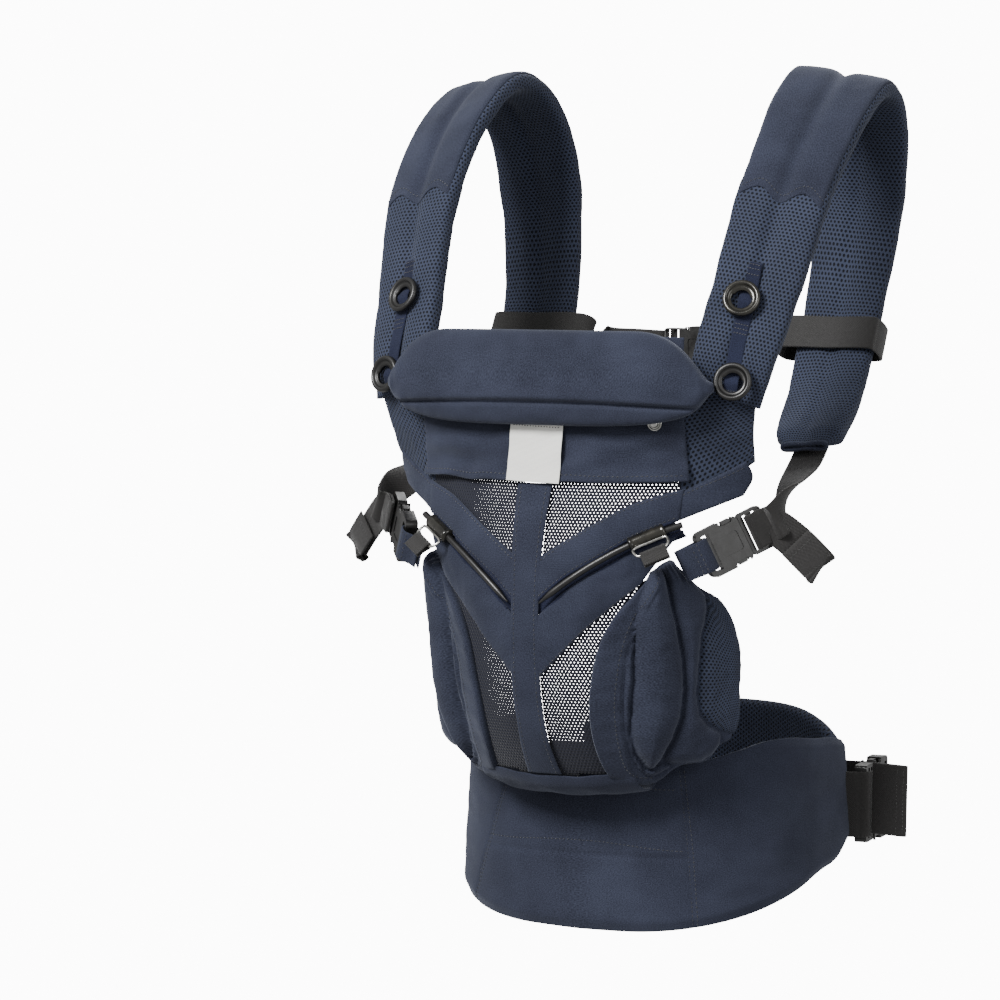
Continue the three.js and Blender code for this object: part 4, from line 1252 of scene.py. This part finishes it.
# ---- Shoulder straps ----
def section_table():
    """The padded section's outline by share of its girth, from the middle of its outer face."""
    width, power = 32, 0.5
    rows, walked, before = [], 0.0, None
    for i in range(721):
        turn = math.radians(90 - i / 2)
        spot = [math.copysign(abs(c) ** power, c) for c in (math.cos(turn), math.sin(turn))]
        spot = (spot[0] * width, spot[1] * STRAP_HALF)
        walked += math.dist(before, spot) if before else 0
        rows.append((walked, spot[0] / width, spot[1]))
        before = spot
    return [(length / walked, across, lift) for length, across, lift in rows]


SECTION = section_table()


def section(girth_share):
    """Across, from -1 to 1, and lift of the section's outline."""
    share = girth_share % 1
    k = min(max(bisect.bisect(SECTION, (share,)) - 1, 0), len(SECTION) - 2)
    low, high = SECTION[k], SECTION[k + 1]
    part = (share - low[0]) / (high[0] - low[0])
    return low[1] + (high[1] - low[1]) * part, low[2] + (high[2] - low[2]) * part


def strap_surface(station, girth_share, swell=0.0):
    centre, _, across_way, normal, half_width = strap_frame(station)
    share, lift = section(girth_share)
    to_tip = (STRAP_END - station) * 27
    close = 0.28 + 0.72 * ease(min(station * 20, to_tip), 0, 18)
    half_width *= 1 - 0.3 * (1 - ease(to_tip, 0, 15))
    across = share * half_width
    along = station * 34
    groove = 1 - (0.42 if lift > 0 else 0.34) * bump(across, 0, 6)
    ripple = 0.6 * wrinkle((across, lift, along), 19, 51) + 0.25 * wrinkle((across, lift, along), 7, 53)
    lift = lift * groove * close * (1 + (swell + ripple) / STRAP_HALF)
    across *= 1 + (swell + ripple) / half_width
    return centre + across_way * across + normal * lift


COVER_REACH = 0.205


def add_strap(name, sign):
    # The mesh body goes all the way round; the twill cover lies over its outer face.
    piece = Piece(f"strap_lining_{name}", sign)
    girth, length, count = 152, STRAP_END * 34, 76

    def body(t, s):
        return strap_surface(t * STRAP_END, s, -0.6 if t * STRAP_END > HEM_STATION + 0.2 else 0.0)

    grid = piece.grid(body, steps(200), steps(count), (length, girth), wrap=True)
    piece.cap(grid, False)
    piece.cap(grid, True)
    obj = piece.make(MESH)
    place(obj, "carrier", f"strap_lining_{name}", f"strap_foam_{name}", slot="navy_mesh", fill=0.8)

    piece = Piece(f"strap_cover_{name}", sign)

    def cover(t, s, lift):
        girth_share = (2 * s - 1) * COVER_REACH
        across = section(girth_share)[0]
        begin = HEM_STATION - 0.1 + 0.2 * math.sin(math.pi * across) ** 2
        station = begin + (STRAP_END + 0.02 - begin) * t
        tuck = 0.9 * (1 - ease(min(s, 1 - s), 0, 0.05))
        return strap_surface(station, girth_share, 0.5 + lift - tuck)

    length, width = (STRAP_END - HEM_STATION) * 34, 2 * COVER_REACH * girth
    piece.shell(cover, steps(150, length, 1.5), steps(44, width, 1), (length, width), 1, rim=1)
    rows = [[(0.012, 0.02), (0.012, 0.25), (0.012, 0.5), (0.012, 0.75), (0.012, 0.98)]]
    seam_rows(piece, cover, 0.55, rows, pitch=3.0)
    binding = [strap_surface(STRAP_END, i / 40, 1.0) for i in range(40)]
    piece.tube(binding, 1.7, 8, closed=True, guide=strap_frame(STRAP_END)[1])
    obj = piece.make(TWILL, THREAD)
    place(obj, "carrier", f"strap_cover_{name}", slot="navy_twill", fill=0.8)


BUTTONS = (("upper", 1.93, 0.42), ("lower", 0.4, 0.6))


def add_buttons(name, sign):
    for label, station, share in BUTTONS:
        _, tangent, _, normal, _ = strap_frame(station)
        centre = strap_point(station, share, STRAP_HALF + 2.2 + 2.3)
        matrix = local_axes(centre, tangent.cross(normal), normal)
        piece = Piece(f"ring_{label}_{name}", sign)
        profile = [
            (7.4, -2.3), (12.2, -2.3), (13.0, -1.8), (13.3, -0.9), (13.3, 0.6), (12.9, 1.6),
            (12.1, 2.2), (11.2, 2.3), (10.4, 2.0), (9.9, 1.2), (9.4, 0.4), (8.4, 0.1), (7.4, 0.1),
        ]
        count = len(profile)

        def at(t, s, m=matrix):
            radius, height = profile[round(t * count) % count]
            turn = 2 * math.pi * s
            if radius < 7.5:
                flat = 0.84 if math.sin(turn) > 0.3 else 1.0
                radius *= flat
            return m @ Vector((radius * math.cos(turn), radius * math.sin(turn), height))

        first = len(piece.points)
        sides = 48
        for i in range(count):
            for j in range(sides):
                piece.points.append(at(i / count, j / sides))
        for i in range(count):
            for j in range(sides):
                a, b = first + i * sides + j, first + i * sides + (j + 1) % sides
                c = first + ((i + 1) % count) * sides + (j + 1) % sides
                d = first + ((i + 1) % count) * sides + j
                piece.face([a, b, c, d], [(0, 0)] * 4, 0)
        material = PEWTER if label == "upper" and sign > 0 else PLASTIC
        place(piece.make(material), "carrier", f"ring_{label}_{name}", slot="black_plastic")

    begin, finish_at = 2.68, 0.02

    def tape(t, s, lift):
        station = begin + (finish_at - begin) * t
        share = 0.42 + 0.18 * t + (s - 0.5) * 0.19
        bridge = sum(bump(station, spot, 0.16) for _, spot, _ in BUTTONS)
        height = STRAP_HALF - 1.1 + 3.0 * bridge + 0.4 * wrinkle((s * 11, 0, t * 95), 9, 61)
        return strap_point(station, share, height + lift)

    piece = Piece(f"ring_tape_{name}", sign)
    piece.shell(tape, steps(90), steps(8, 11.5, 1), (95, 11.5), 1.3, rim=1)
    rows = []
    for share in (0.02, 0.05, 0.09, 0.44, 0.47, 0.5, 0.93, 0.965):
        rows.append([(share, 0.08), (share, 0.5), (share, 0.92)])
    seam_rows(piece, tape, 0.7, rows, pitch=2.0)
    place(piece.make(TWILL_DARK, THREAD), "carrier", f"ring_tape_{name}", slot="navy_twill")


# ---- Neck pillow ----
def add_pillow():
    half_span = 126

    def at(t, s):
        """t goes along the pillow, s round it from the lower back edge over the front."""
        x = (2 * t - 1) * half_span
        edge = abs(2 * t - 1)
        close = math.sqrt(max(1 - edge ** 9, 0.0))
        turn = 2 * math.pi * s
        high = 427 - 29 * max((edge - 0.58) / 0.42, 0) ** 2.2
        low = 361 + 13 * edge ** 3 + 11 * max((edge - 0.85) / 0.15, 0) ** 2
        middle, half = (high + low) / 2, (high - low) / 2
        sine, cosine = math.sin(turn), -math.cos(turn)
        z = middle + half * math.copysign(abs(cosine) ** 0.8, cosine) * max(close, 0.45)
        front = sine < 0
        depth = 11.5 if front else 5
        out = depth * abs(sine) ** 0.7 * (1 if front else -1)
        seam = 376 + 1.5 * edge ** 2
        roll = 1 - front * (0.5 * bump(z, seam, 1.5) + 0.16 * ease(seam - z, 0, 3))
        puff = out * max(close, 0.1) * roll
        gather = ease(edge, 0.78, 1.0)
        fold = (0.8 + 1.4 * gather) * wrinkle((x / (2.2 - gather), 0, z), 15, 71)
        fold += 0.4 * wrinkle((x, 0, z), 7, 73)
        return panel(x, z, 13 + puff + fold * front * close)

    piece = Piece("pillow")
    ts = [0.5 - 0.5 * math.cos(math.pi * i / 130) for i in range(131)]
    grid = piece.grid(at, ts, steps(140), (262, 170), wrap=True)
    piece.cap(grid, False)
    piece.cap(grid, True)
    obj = piece.make(TWILL, THREAD)
    place(obj, "pillow", "pillow", slot="navy_twill", fill=0.8)


# ---- Waist belt ----
def belt_height(angle, share):
    low, high = smooth(BELT_EDGES, abs(angle))
    return low + (high - low) * share


def add_belt():
    def crown(angle, z, share):
        seams = 0.9 * bump(z, 54 + 0.03 * angle, 1.6) * ease(30 - abs(angle), -1, 1)
        lines = bump(angle, -24 - 0.17 * (100 - z), 0.7) + bump(angle, 28 + 0.04 * (117 - z), 0.7)
        round_off = 2.4 * ease(min(share, 1 - share), 0, 0.07)
        ripple = 0.9 * wrinkle((angle, 0, z), 26, 81) + 0.35 * wrinkle((angle, 0, z), 9, 83)
        return round_off - seams - 0.7 * lines + ripple

    def at(t, s, lift):
        angle = (2 * t - 1) * BELT_END
        z = belt_height(angle, s)
        return belt(angle, z, crown(angle, z, s) - 1.2 + lift)

    piece = Piece("belt_front")
    length = 470
    piece.shell(at, steps(240, length, 2), steps(70, 122, 2), (length, 122), 2.0, rim=2)

    def spot(angle, z):
        low, high = smooth(BELT_EDGES, abs(angle))
        return ((angle / BELT_END + 1) / 2, (z - low) / (high - low))

    rows = []
    for offset in (0, 1.6):
        rows.append([spot(-23.8 + offset, 104), spot(-32.4 + offset, 52), spot(-39.4 + offset, 12)])
        rows.append([spot(27.6 + offset, 117), spot(30.4 + offset, 60), spot(32 + offset, 6)])
    rows.append([spot(-31, 60.5), spot(-4, 63.5), spot(9, 63), spot(29, 59.7)])
    rows.append([spot(-23, 103), spot(0, 105.5), spot(27, 103)])
    rows.append([spot(-100, 62), spot(-60, 24), spot(-36, 9.5)])
    seam_rows(piece, at, 1.05, rows, pitch=3.2)
    place(piece.make(TWILL, THREAD), "carrier", "belt_front", slot="navy_twill", fill=0.5)

    def pad(t, s, lift):
        angle = (2 * t - 1) * BELT_END
        z = belt_height(angle, 0.015 + 0.97 * s)
        puff = 1.3 * math.sin(math.pi * s) ** 0.5 + 0.8 * wrinkle((angle, 0, z), 22, 87)
        middle = -7.6
        return belt(angle, z, middle + (lift if lift > 0 else lift - puff))

    piece = Piece("belt_pad")
    piece.shell(pad, steps(200, length, 5), steps(50, 120, 5), (length, 120), 8.5, rim=5)
    place(piece.make(MESH), "carrier", "belt_pad", slot="navy_mesh", fill=0.6)


def waist_axes():
    origin = Vector((133.5, 96, 79))
    return local_axes(origin, Vector((0.17, -0.985, 0)), Vector((0.985, 0.17, 0)))


def add_waist_back():
    bodies = ("waist_back", "carrier")
    add_buckle(WAIST_BUCKLE, waist_axes(), 1, "waist_buckle_female", "waist_buckle_male", bodies)

    middle = 79

    def arc(angle):
        return back_arc(angle, middle, 0.2)

    route = [Vector((-137, 39, middle)), Vector((-136, 60, middle)), arc(-39.5)]
    route += [arc(angle) for angle in (-26, -13, 0, 13, 25, 33)]
    route += [Vector((125, 88, middle)), Vector((128.6, 91.4, middle))]
    widths = [UP] * len(route)
    seams = [[(0.3, 0.06), (0.3, 0.94)], [(0.7, 0.06), (0.7, 0.94)]]
    obj = ribbon("waist_webbing", route, widths, 50, 1.8, 120, 1, None, seams)
    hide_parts("waist_webbing")
    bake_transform(obj)

    def pad(t, s, lift):
        angle = (2 * t - 1) * 35
        edge = (2 * t - 1) ** 4
        z = 34 + 10 * edge + (108 - 34 * edge) * s
        puff = 1.6 * math.sin(math.pi * s) ** 0.5 * math.sin(math.pi * t) ** 0.4
        channel = 1.3 * (bump(s, 0.33, 0.02) + bump(s, 0.67, 0.02))
        lining = 0.6 * wrinkle((angle * 3, 0, z), 18, 91)
        if lift < 0:
            return back_arc(angle, z, -9.1 + lift - puff + channel + lining)
        return back_arc(angle, z, -9.1 + lift + 0.3 * puff)

    piece = Piece("lumbar_pad")
    piece.shell(pad, steps(110, 230, 6), steps(50, 100, 6), (230, 100), 12.4, rim=6)
    place(piece.make(MESH), "lumbar", "lumbar_pad", slot="navy_mesh", fill=0.6)

    anchor = [belt(angle, middle, -4) for angle in (90, 94, 98, 101)]
    anchor += [Vector(p) for p in (
        (141.8, 37, middle), (146.6, 39.5, middle), (149, 44, middle), (148.4, 49, middle),
    )]
    ribbon("waist_anchor", anchor, [UP] * 8, 48, 1.7, 50, 1, "carrier")

    tail_axes = local_axes(Vector((151.5, 44, 84)), Vector((0.99, -0.12, -0.02)), Vector((-0.12, -0.99, 0)))

    def fold(u, n):
        return tail_axes @ Vector((u, 0, n))

    tail = [fold(u, n) for u, n in (
        (0, 1.6), (10, 2.1), (20, 2), (26.5, 1.4), (28, 0), (26.5, -1.5), (18, -1.7), (10, -1.5),
        (8.5, 0), (10, 0.4), (20, 0.2),
    )]
    across = tail_axes.to_3x3() @ Vector((0, 1, 0))
    seams = [[(0.22, 0.04), (0.22, 0.96)], [(0.3, 0.04), (0.3, 0.96)]]
    obj = ribbon("waist_tail", tail, [across] * 11, 52, 1.2, 110, 1, "carrier", seams)


# ---- Cross strap behind the neck ----
def add_cross_strap():
    reach = (CROSS_BUCKLE["female"] + CROSS_BUCKLE["male"] + 0.5) / 2
    dip = 410
    axes = local_axes(Vector((reach, 46, dip)), Vector((-1, 0, 0)), Vector((0, 1, 0)))
    bodies = ("cross_right", "cross_left")
    add_buckle(CROSS_BUCKLE, axes, 1, "cross_buckle_female", "cross_buckle_male", bodies)
    centre, tangent, across, normal, half_width = strap_frame(12.9)
    slack = STRAP_HALF + 3.2
    edge = half_width + 3.4
    neck = 11

    def around(reach_out, lift):
        return centre + across * reach_out + normal * lift

    for name, sign in SIDES:
        route = [
            Vector((reach + 1.2, 46, dip)), Vector((42, 43.5, dip + 1)), Vector((66, 34, dip + 3)),
            around(-edge - neck, -slack - 0.6), around(0, -slack), around(edge - 5, -slack),
            around(edge, -slack * 0.55), around(edge, slack * 0.55), around(edge - 5, slack),
            around(0, slack), around(-edge, slack), around(-edge - neck, slack * 0.55),
            around(-edge - neck, 3.6 - slack),
        ]
        widths = [UP] * 3 + [tangent] * 10
        ribbon(f"cross_strap_{name}", route, widths, 25, 1.7, 120, sign, f"cross_{name}")


add_camera()
add_studio()
add_centre_strip()
add_yoke()
add_hood_snap()
add_seat_base()
for side_name, side_sign in SIDES:
    add_panel_side(side_name, side_sign)
    add_side_mesh(side_name, side_sign)
    add_wing(side_name, side_sign)
    add_rail_set(side_name, side_sign)
    add_side_buckle(side_name, side_sign)
    add_strap(side_name, side_sign)
    add_buttons(side_name, side_sign)
add_pillow()
add_belt()
add_waist_back()
add_cross_strap()
